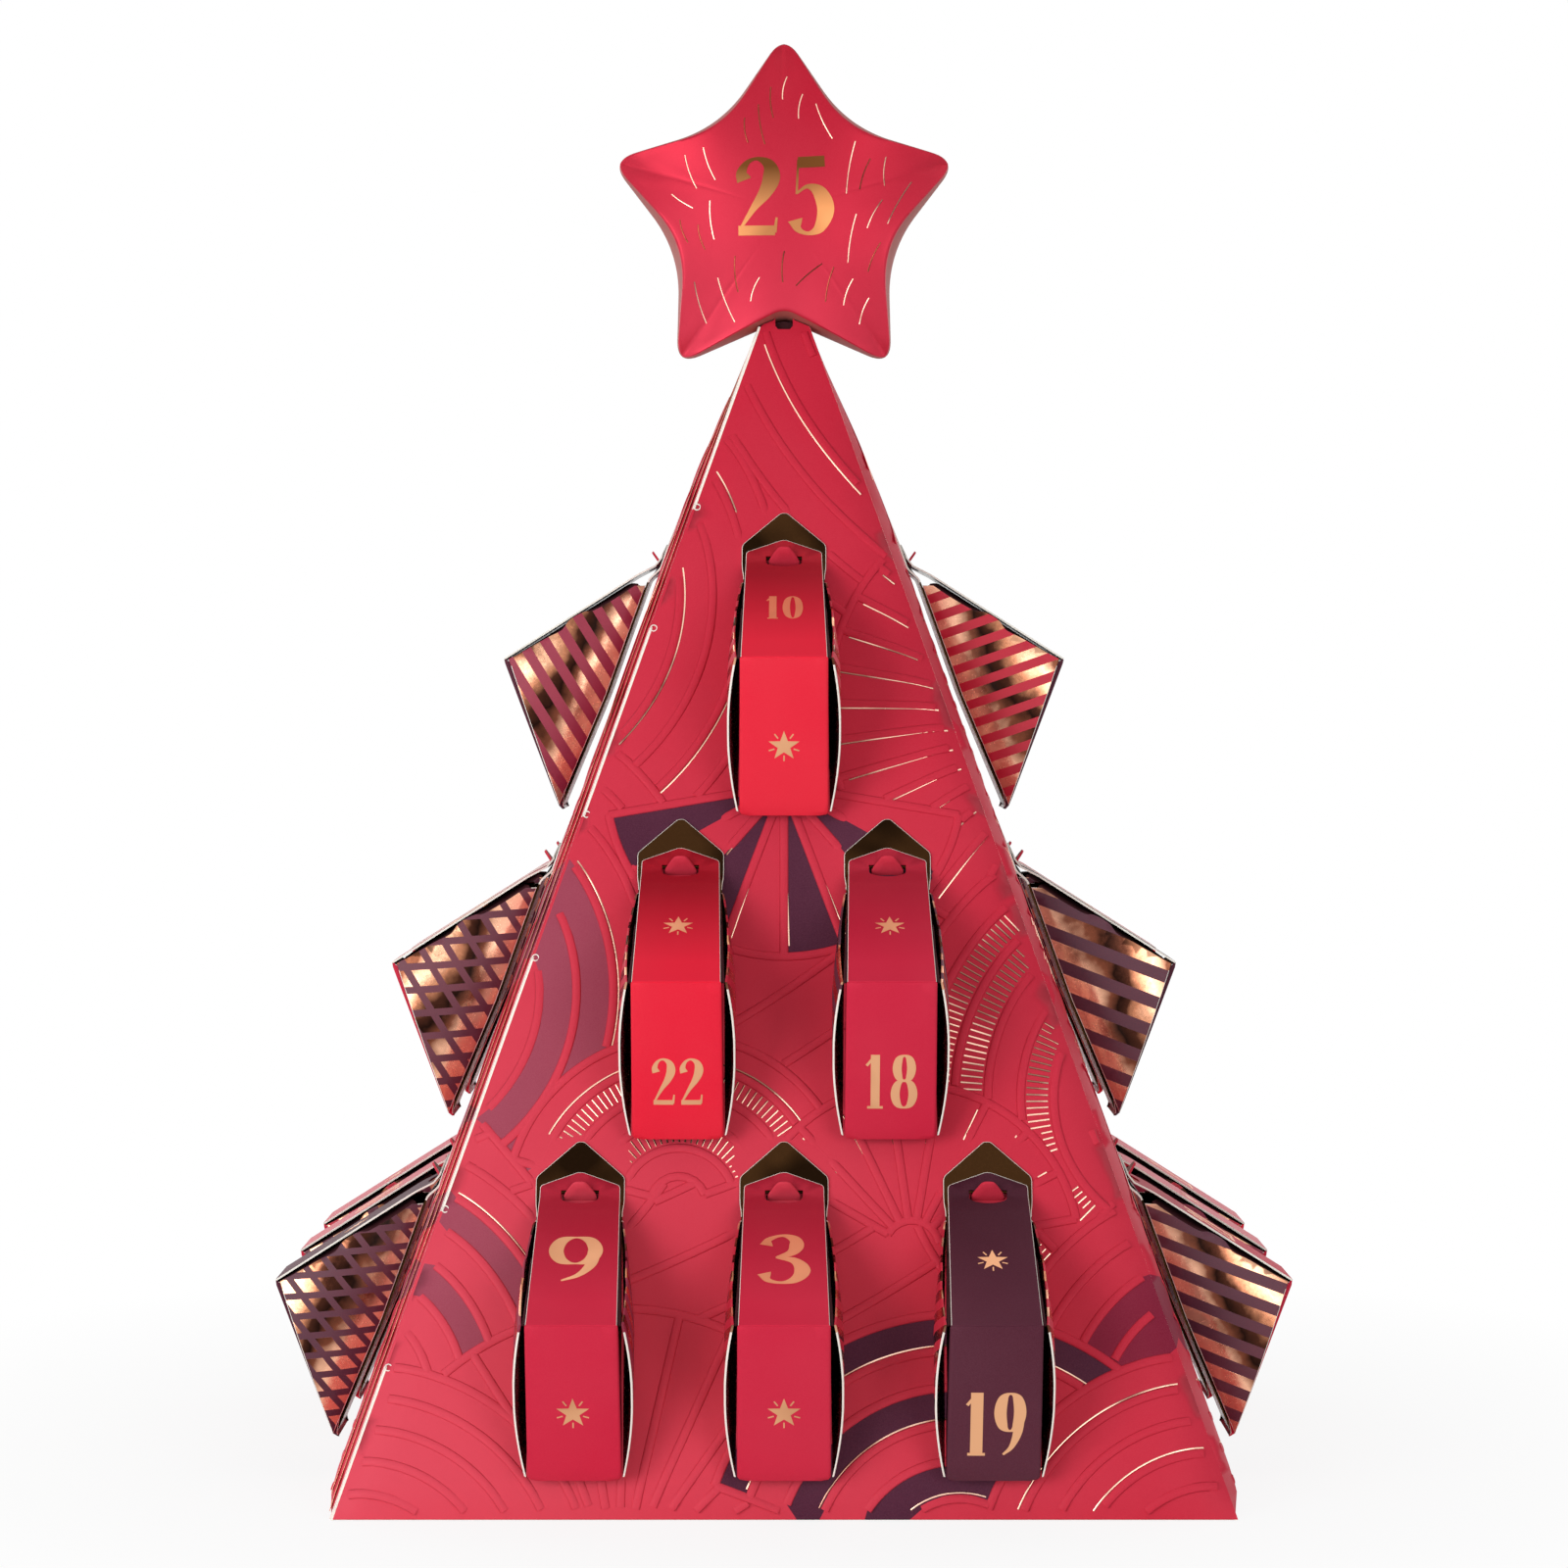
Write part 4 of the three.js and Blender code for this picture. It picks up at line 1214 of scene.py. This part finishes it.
def sweptRelief(tree, given):
    step = lambda kind, values, **settings: newNode(tree, kind, values, **settings)[0]
    lines = step("GeometryNodeSetCurveNormal", {"Curve": given["Lines"]}, mode="Z_UP")
    ring = step("GeometryNodeCurvePrimitiveCircle", {"Resolution": given["Sides"], "Radius": 1})
    half = maths(tree, "MULTIPLY", given["Width"], 0.5)
    scale = step("ShaderNodeCombineXYZ", {0: half, 1: given["Height"], 2: 1})
    profile = step("GeometryNodeTransform", {"Geometry": ring, "Scale": scale})
    swept = step("GeometryNodeCurveToMesh", {"Curve": lines, "Profile Curve": profile, "Fill Caps": True})
    real = step("GeometryNodeRealizeInstances", {0: step("GeometryNodeSetShadeSmooth", {0: swept})})
    return [step("GeometryNodeSetMaterial", {"Geometry": real, "Material": given["Finish"]})]


def sweptPiece(name, lines, matrix, profile, finish, body, cyclic=False):
    data = bpy.data.curves.new(name + "Lines", "CURVE")
    data.dimensions = "3D"
    for line in lines:
        spline = data.splines.new("POLY")
        spline.points.add(len(line) - 1)
        spline.points.foreach_set("co", np.hstack([line * mm, np.ones((len(line), 1))]).ravel())
        spline.use_cyclic_u = cyclic
    source = addToScene(name + "Lines", data)
    modifier = source.modifiers.new("relief", "NODES")
    modifier.node_group = groups["sweep"]
    wide, tall, sides = profile
    values = {"Width": wide * mm, "Height": tall * mm, "Sides": sides, "Finish": materials[finish]}
    for item in groups["sweep"].interface.items_tree:
        if item.name in values:
            modifier[item.identifier] = values[item.name]
    bpy.context.view_layer.update()
    evaluated = source.evaluated_get(bpy.context.evaluated_depsgraph_get())
    mesh = bpy.data.meshes.new_from_object(evaluated)
    mesh.name = name
    bpy.data.objects.remove(source)
    mesh.transform(matrix)
    mesh.materials.clear()
    mesh.materials.append(materials[finish])
    handOver(addToScene(name, mesh), body)


# The walls' upper edges follow the star above them.
starUnder = {"at": 436.9, "fall": 0.43, "seat": 0.3, "level": 2, "half": 9.95, "sideFall": 7.9}


def wallTop(wall):
    under = lambda fall: (starUnder["at"] - starUnder["seat"] - starUnder["fall"] * fall) / cosSlope
    if wall in ("left", "right"):
        height = under(starUnder["sideFall"])
        return [(halfWidthAt(height), height), (-halfWidthAt(height), height)]
    xs = np.linspace(starUnder["half"], -starUnder["half"], 11)
    top = [(x, under(max(abs(x) - starUnder["level"], 0))) for x in xs]
    if wall == "front":
        notch = [(x, under(0) + down) for x, down in pyramid["notch"]]
        top = [p for p in top if p[0] > 3.6] + notch + [p for p in top if p[0] < -3.6]
    return top


def wallLoop(wall):
    edge = pyramid["seam"] if wall == "front" else 0.0
    foot = pyramid["base"] / 2
    top = [(np.clip(x, -halfWidthAt(y) + edge, halfWidthAt(y)), y) for x, y in wallTop(wall)]
    return resampled([(-foot + edge, 0), (foot, 0)] + top, 4)


def reliefLines(lines):
    half, below, above = relief["flap"]
    found = [onWall(line) for line in lines]
    for line in found:
        x, y, _ = line.T
        for across, crease in boxPlaces:
            under = (np.abs(x - across) < half) & (y > crease - below) & (y < crease + above)
            line[:, 2] -= relief["dip"] * under
    return found


def makeWall(wall):
    loop = wallLoop(wall)
    windows = [resampled(hookLoop(hook["gap"]) + np.array([a, c + hook["root"]]), 2.5) for a, c in boxPlaces]
    loops = [loop] + windows
    aside = wall in ("right", "left")
    flip = np.array([-1 if aside else 1, 1])  # the print of a side wall is mirrored
    printed = drawFans(insetLoop(loop * flip, relief["inset"][aside]))
    ridges, foils = ([line * flip for line in lines] for lines in printed)
    part = newPart()
    flat, tris, middle = triangulated(loops, gridInside(loops, pyramid["step"]), ridges)
    back, backTris, _ = triangulated(loops, gridInside(loops, 2 * pyramid["step"]))
    start = len(flat)
    faces = tris.tolist() + (backTris[:, ::-1] + start).tolist()
    kinds = printKinds(middle * flip).tolist() + [1] * len(backTris)
    for each in loops:
        a, b = nearest(each, flat), nearest(each, back) + start
        for j in range(len(each)):
            k = (j + 1) % len(each)
            faces.append((b[j], b[k], a[k], a[j]))
            kinds.append(2)
    addShape(part, np.vstack([onWall(flat), onWall(back, -pyramid["board"])]), faces, kinds)
    for across, crease in boxPlaces:
        hookTongue(part, across, crease)
    matrix = wallMatrix(wall)
    finishes = ["wall", "inside", "edge", "wallPlum", "wallMaroon", "wallDusty"]
    node = f"wall_{wall}"
    finishPart(part, node + "_card", matrix, finishes, "pyramid", "wall_card", node, 50)
    ridge = (relief["wide"], relief["tall"] * (0.5 if aside else 1), 8)
    sweptPiece(node + "_relief", reliefLines(ridges), matrix, ridge, "wall", "pyramid")
    hairline = (relief["lineWide"], relief["lineTall"], 6)
    sweptPiece(node + "_foil", reliefLines(foils), matrix, hairline, "line", "pyramid")
    print("wall", wall, "has", len(tris), "faces,", len(ridges), "ridges,", len(foils), "foil lines")


# The front left corner is a glued seam: a cut edge, a dark strip that paints the shadow in the gap beside it, and
# three tabs folded round it.
seam = {
    "tabs": ((358, 24), (232, 27), (82, 28)),  # (up, half length)
    # The second strip is dark: it paints the shadow in the gap.
    "strips": ((-0.35, 1.5, -0.2), (0.9, 1.6, -0.9)),  # (inset, width, out) of the cut edge and the gap
    "deep": 1.0,
    "reach": (-0.15, math.pi / 2 + 0.1),
    "fold": (1.9, 2.5, 0.75, 1.7),  # a tab's place and its radius, inwards and outwards
    "card": 0.35,
    "notch": 1.2,
    "notchAt": (0.6, 1.6, 1.1),  # past the tab's end, inset and out
    "border": (2.6, 6.4),
}


def leftEdge(up, inset, out):
    return np.column_stack([inset - halfWidthAt(up), up, np.full(len(up), out)])


def makeSeam():
    matrix = wallMatrix("front")
    part = newPart()
    ups = np.linspace(0.5, upperEdge - 8, 60)
    for stuff, (inset, wide, out) in enumerate(seam["strips"]):
        far, low = inset + wide, out - seam["deep"]
        corners = ((inset, out), (far, out), (far, low), (inset, low))
        points = np.stack([leftEdge(ups, *corner) for corner in corners], 1)
        addShape(part, points.reshape(-1, 3), ringFaces(len(ups), 4, capped=True), stuff)
    finishPart(part, "seam_edge", matrix, ["edge", "dark"], "pyramid", "grey_board")
    tabs, notches = newPart(), []
    inset, wide, out, deep = seam["fold"]
    past, *notchAt = seam["notchAt"]
    circle = np.linspace(0, 2 * np.pi, 14, endpoint=False)
    for up, half in seam["tabs"]:
        ups = np.linspace(up - half, up + half, 20)
        turns = np.linspace(*seam["reach"], 9)
        folded = [(inset - wide * math.sin(turn), out - deep * (1 - math.cos(turn))) for turn in turns]
        outer = np.stack([leftEdge(ups, *each) for each in folded], 1)
        grid = np.concatenate([outer, outer[:, ::-1] + np.array([seam["card"], 0, -seam["card"]])], 1)
        addShape(tabs, grid.reshape(-1, 3), ringFaces(len(ups), grid.shape[1], capped=True), 0)
        for end in (up - half - past, up + half + past):
            middle = leftEdge(np.full(len(circle), end), *notchAt)
            around = np.column_stack([np.cos(circle), np.sin(circle), np.zeros(len(circle))])
            notches.append(middle + seam["notch"] * around)
    finishPart(tabs, "seam_tabs", matrix, ["wall"], "pyramid", "wall_card")
    ups = np.linspace(2, upperEdge - 6, 70)
    border = [onWall(np.column_stack([halfWidthAt(ups) - inset, ups])) for inset in seam["border"]]
    left = wallMatrix("left")
    sweptPiece("seam_border", border, left, (2.6, 0.12, 6), "foil", "pyramid")
    sweptPiece("seam_notches", notches, matrix, (0.5, 0.3, 6), "edge", "pyramid", True)


star = {
    "tip": 71.5,
    "notch": 42.9,
    "foot": 39.5,  # the lowest notch
    "corners": ("tip", "notch", "tip", "notch", "tip", "foot", "tip", "notch", "tip", "notch"),
    "rounds": {"tip": 10.0, "notch": 18.0, "foot": 5.0},
    "perEdge": 24,
    "centre": 476.5,
    "half": 17.0,
    "tipDepth": 2.2,
    "face": 21.0,
    "even": (41.0, 13.0),  # radius and depth to which a face evens out
    "inset": 2.6,  # of a face's edge at a notch
    "roll": 1.5,
    "board": 1.0,
    "gap": 0.3,
    "sideRings": 7,
    "faceRings": 24,
    "tab": [(-7, -5), (7, -5), (7, 9), (-7, 9)],
    "tabGap": 1.9,
}
# A field over the face that evens it out: how far it reaches, its step, the spread and the half width in steps of
# its smoothing, and how fast it fades in from the face's edge.
starEven = {"reach": 78.0, "step": 1.5, "spread": 7.0, "fade": 5.0, "kernel": 14}


# A point at a distance from a corner, on half of the parabola that rounds it off.
def softened(corner, ahead, behind, long, distance, reach):
    u = (1 - distance / reach) / 2
    start = corner + (ahead - corner) * reach / long
    end = corner + (behind - corner) * reach / np.linalg.norm(behind - corner)
    return (1 - u) ** 2 * start + 2 * u * (1 - u) * corner + u * u * end


def starOutline():
    kinds = star["corners"]
    corners = starLoop([star[kind] for kind in kinds])
    points, fullness = [], []
    for i in range(10):
        k = (i + 1) % 10
        a, b = corners[i], corners[k]
        long = np.linalg.norm(b - a)
        first, last = star["rounds"][kinds[i]], star["rounds"][kinds[k]]
        for t in np.arange(star["perEdge"]) / star["perEdge"]:
            point = a + (b - a) * t
            if t * long < first:
                point = softened(a, b, corners[i - 1], long, t * long, first)
            if (1 - t) * long < last:
                point = softened(b, a, corners[(i + 2) % 10], long, (1 - t) * long, last)
            points.append(point)
            fullness.append(math.sin((1 - t if i % 2 else t) * math.pi / 2))
    return np.array(points), np.array(fullness)


# The face runs from its edge to the middle: away from the edge it turns round and even.
def starFace(share, edgeRadius, edgeDepth, top):
    even = 1 - (1 - share) ** 2.2
    meanRadius, meanDepth = star["even"]
    radius = (1 - share) * (edgeRadius * (1 - even) + meanRadius * even)
    base = edgeDepth * (1 - even) + meanDepth * even
    return radius, base + (top - base) * (1 - (1 - share) ** 2.3)


def starEdge(shrink=0.0):
    outline, full = starOutline()
    depth = np.maximum(star["tipDepth"] + (star["half"] - star["tipDepth"]) * full - shrink, 0.6)
    return insetLoop(outline, shrink) if shrink else outline, full, depth


# How far in from the edge each point of the face lies, from 0 to 1, and the depth there.
def starFaceAt(x, z):
    outline, full, depth = starEdge()
    angles = np.arctan2(outline[:, 1], outline[:, 0])
    order = np.argsort(angles)
    lip = np.hypot(outline[:, 0], outline[:, 1]) - star["inset"] * full - np.minimum(star["roll"], 0.45 * depth)
    turn = np.arctan2(z, x)
    lip, depth = (np.interp(turn, angles[order], values[order], period=2 * np.pi) for values in (lip, depth))
    low, high = np.zeros_like(turn), np.ones_like(turn)
    for _ in range(24):
        share = (low + high) / 2
        outside = starFace(share, lip, depth, star["face"])[0] > np.hypot(x, z)
        low, high = np.where(outside, share, low), np.where(outside, high, share)
    return share, starFace(share, lip, depth, star["face"])[1]


def blurred(field, kernel):
    for axis in (0, 1):
        field = np.apply_along_axis(np.convolve, axis, field, kernel, "same")
    return field


# The drawn board bends evenly, so the ridges that run in from the tips are evened out.
def evenedFace():
    ticks = np.arange(-starEven["reach"], starEven["reach"] + 0.1, starEven["step"])
    share, depth = starFaceAt(*np.meshgrid(ticks, ticks, indexing="ij"))
    inside = (share > 0.001).astype(float)
    steps = np.arange(-starEven["kernel"], starEven["kernel"] + 1)
    kernel = np.exp(-0.5 * (steps * starEven["step"] / starEven["spread"]) ** 2)
    soft = blurred(depth * inside, kernel) / np.maximum(blurred(inside, kernel), 0.001)
    return (soft - depth) * inside * np.clip(share * starEven["fade"], 0, 1)


starShift = evenedFace()


def shiftAt(x, z):
    u, v = ((np.asarray(values) + starEven["reach"]) / starEven["step"] for values in (x, z))
    i, j = u.astype(int), v.astype(int)
    u, v = u - i, v - j
    low = starShift[i, j] * (1 - v) + starShift[i, j + 1] * v
    return low * (1 - u) + (starShift[i + 1, j] * (1 - v) + starShift[i + 1, j + 1] * v) * u


def starSurface(shrink, start, facing):
    outline, full, depth = starEdge(shrink)
    radius = np.hypot(outline[:, 0], outline[:, 1])
    roll = np.minimum(star["roll"], 0.45 * depth)
    side = np.linspace(0, 1, star["sideRings"] + 1)
    rings = [(star["inset"] * full * t ** 1.8, start + (depth - roll - start) * t) for t in side]
    for turn in np.radians((30, 60, 90)):
        rings.append((star["inset"] * full + roll * (1 - math.cos(turn)), depth - roll + roll * math.sin(turn)))
    rings = [(outline * (1 - inset / radius)[:, None], at) for inset, at in rings]
    lip = rings[-1][0]
    lipRadius = np.hypot(lip[:, 0], lip[:, 1])
    for j in range(1, star["faceRings"]):
        reach, at = starFace(j / star["faceRings"], lipRadius, depth, star["face"] - shrink)
        flat = lip * (reach / lipRadius)[:, None]
        rings.append((flat, at + shiftAt(flat[:, 0], flat[:, 1])))
    points = [np.column_stack([flat[:, 0], facing * at, flat[:, 1] + star["centre"]]) for flat, at in rings]
    middle = star["face"] - shrink + float(shiftAt(0.0, 0.0))
    points = np.vstack(points + [[[0, facing * middle, star["centre"]]]])
    count = len(outline)
    last = (len(rings) - 1) * count
    faces = ringFaces(len(rings), count)
    kinds = [1] * (star["sideRings"] * count) + [0] * (len(faces) - (star["sideRings"] - 1) * count)
    faces += [(last + i, last + (i + 1) % count, len(points) - 1) for i in range(count)]
    return points, faces, kinds


def starHalf(facing, start):
    part = newPart()
    outer, faces, kinds = starSurface(0, start, facing)
    inner, innerFaces, _ = starSurface(star["board"], start, facing)
    shift, count = len(outer), len(starOutline()[0])
    faces += [tuple(i + shift for i in reversed(face)) for face in innerFaces]
    faces += [(i, (i + 1) % count, (i + 1) % count + shift, i + shift) for i in range(count)]
    addShape(part, np.vstack([outer, inner]), faces, kinds + [2] * len(innerFaces) + [3] * count)
    return part


def starFaceDepth(x, z):
    return starFaceAt(x, z)[1] + shiftAt(x, z)


def placeOnStar(x, z, depth):
    return np.column_stack([x, -(starFaceDepth(x, z) - depth), z + star["centre"]])


dash = {
    "count": 30,
    "bright": 17,
    "seed": 7,
    "tries": 4000,
    "long": (9.0, 21.0),
    "wide": 0.55,
    "tall": 0.12,
    "within": (-58, 58, -52, 58),  # across and up
    "bow": 2.5,
    "apart": 4.5,
    "clear": (24, 20),  # free of dashes round the number
}
starNumber = {"at": (0, 6), "size": (39, 30), "style": (0.028, 0.22, 0.0), "lift": 0.12}


def dashLines():
    rng = np.random.default_rng(dash["seed"])
    outline = starOutline()[0] * 0.86
    left, right, low, high = dash["within"]
    t = np.linspace(-0.5, 0.5, 9)
    lines = []
    for _ in range(dash["tries"]):
        x, z = rng.uniform(left, right), rng.uniform(low, high)
        long = rng.uniform(*dash["long"])
        lean = rng.normal(0, 0.3) + x / 90
        flat = np.stack([x + long * t * math.sin(lean) + dash["bow"] * t * t, z + long * t * math.cos(lean)], 1)
        if (np.abs(flat - starNumber["at"]) < dash["clear"]).all(1).any() or not within(flat, outline).all():
            continue
        gaps = (np.hypot(*(flat[:, None] - other[None]).reshape(-1, 2).T) for other in lines)
        if any(gap.min() < dash["apart"] for gap in gaps):
            continue
        lines.append(flat)
        if len(lines) == dash["count"]:
            break
    return lines


# A tab of the back shell, which grips inside the front shell's rim at a notch.
def starTab(part, angle):
    outline = starOutline()[0]
    radial = np.array([math.cos(angle), math.sin(angle)])
    side = np.array([-radial[1], radial[0]])
    near = outline @ radial > 0.95 * np.hypot(outline[:, 0], outline[:, 1])
    radius = np.hypot(outline[near, 0], outline[near, 1]).min() - star["tabGap"]

    def place(x, y, depth):
        flat = np.outer(radius - depth, radial) + np.outer(x, side)
        return np.column_stack([flat[:, 0], y, flat[:, 1] + star["centre"]])

    loop = resampled(rounded(star["tab"], [1.5, 1.5, 0, 0], 4), 4)
    boardSheet(part, [loop], place, 8, star["board"], 0.2, (2, 2, 3))


def makeStar():
    identity = Matrix.Identity(4)
    finishes = ["star", "starSide", "inside", "edge"]
    front = starHalf(-1, 0.0)
    look = [starNumber[key] for key in ("at", "size", "style")]
    drawNumber(front, 25, *look, placeOnStar, 4, starNumber["lift"])
    names = ("star", "star_board", "star_front_shell")
    finishPart(front, "star_front_card", identity, finishes + ["number25"], *names, 40)
    lines = dashLines()
    turned = Matrix(((1, 0, 0, 0), (0, 0, -1, 0), (0, 1, 0, star["centre"] * mm), (0, 0, 0, 1)))
    raised = [np.column_stack([flat, starFaceDepth(flat[:, 0], flat[:, 1])]) for flat in lines]
    profile = (dash["wide"], dash["tall"], 6)
    sweptPiece("star_dashes_bright", raised[:dash["bright"]], turned, profile, "line", "star")
    sweptPiece("star_dashes_dark", raised[dash["bright"]:], turned, profile, "darkLine", "star")
    back = starHalf(1, star["gap"])
    for i in range(5):
        starTab(back, math.pi / 2 + (2 * i + 1) * math.pi / 5)
    finishPart(back, "star_back_card", identity, finishes, "star_back", "rose_foil", "star_back_shell", 40)
    print("star is made with", len(lines), "dashes")


medallion = {
    "radius": 27.0,
    "half": 8.0,
    "flutes": 24,
    "ripple": 0.018,
    "count": 96,
    "star": (13, 6, 0.9),  # its tips, its notches and its height
    # Shares of the radius and of the half thickness, from the middle to the rim.
    "profile": [
        (0.3, 1.0), (0.55, 1.0), (0.7, 0.93), (0.8, 0.93),
        (0.86, 1.0), (0.93, 0.95), (0.985, 0.75), (1.0, 0.45),
    ],
}


def makeMedallion():
    low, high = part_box("star_chocolate")
    middle = np.array((low + high) / 2 / mm)
    part = newPart()
    count, half = medallion["count"], medallion["half"]
    profile = medallion["profile"] + [(r, -d) for r, d in reversed(medallion["profile"])]
    flute = lambda turn: medallion["ripple"] * (1 - math.cos(medallion["flutes"] * turn))
    sized = [(medallion["radius"] * share, -depth * half) for share, depth in profile]
    points = turnedRings(sized, count, lambda i, turn: 1 - flute(turn) * (profile[i][0] > 0.9))
    points += [(0, -half, 0), (0, half, 0)]
    faces = ringFaces(len(profile), count)
    last = (len(profile) - 1) * count
    for i in range(count):
        k = (i + 1) % count
        faces.append((k, i, len(points) - 2))
        faces.append((last + i, last + k, len(points) - 1))
    addShape(part, middle + np.array(points), faces, 0)
    outer, inner, lift = medallion["star"]
    place = lambda x, z, depth: middle + np.column_stack([x, depth - half, z])
    foilPatch(part, starLoop([outer, inner] * 5), place, 0, lift)
    names = ("star", "chocolate", "star_chocolate")
    finishPart(part, "star_chocolate_moulded", Matrix.Identity(4), ["chocolate"], *names)


def makeFloor():
    mesh = bpy.data.meshes.new("paleFloor")
    size = studio["floor"]
    mesh.from_pydata([(-size, -size, 0), (size, -size, 0), (size, size, 0), (-size, size, 0)], [], [(0, 1, 2, 3)])
    floor = addToScene("paleFloor", mesh)
    floor.location.z = studio["floorHeight"]
    material, tree, shader = startMaterial("paleFloorPaper", 0.2)
    feed(tree, shader, {"Base Color": (0.9, 0.9, 0.9, 1), "Roughness": 0.8})
    glow = newNode(tree, "ShaderNodeEmission", {"Color": (1, 1, 1, 1)})
    across, deep, _ = separated(tree, objectPlace(tree))
    away = maths(tree, "SQRT", maths(tree, "ADD", *(maths(tree, "POWER", v, 2) for v in (across, deep))))
    share = maths(tree, "MULTIPLY", ranged(tree, away, *studio["glow"]), seenDirectly(tree))
    blend = newNode(tree, "ShaderNodeMixShader", {0: share, 1: shader.outputs[0], 2: glow[0]})
    feed(tree, tree.nodes["Material Output"], {"Surface": blend[0]})
    mesh.materials.append(material)


def dressNode(name, finish):
    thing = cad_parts[name]
    thing.data.materials.clear()
    thing.data.materials.append(materials[finish])


groups = {
    "card": newGroup("cardGrain", "ShaderNodeTree", cardInputs, surface, cardGrain),
    "foil": newGroup("foilRipple", "ShaderNodeTree", foilInputs, surface, foilRipple),
    "sweep": newGroup("sweptRelief", "GeometryNodeTree", sweepInputs, {"Relief": "Geometry"}, sweptRelief),
}
materials = makeMaterials()
makeCamera()
makeLamps()
makeWorld()
makeFloor()
print("studio is set")
for wall in wallTurns:
    makeWall(wall)
makeSeam()
makeBoxes()
makeStar()
makeMedallion()
dressNode("base_board", "grey")
dressNode("star_stem", "gap")
bpy.context.scene.view_settings.view_transform = "Standard"
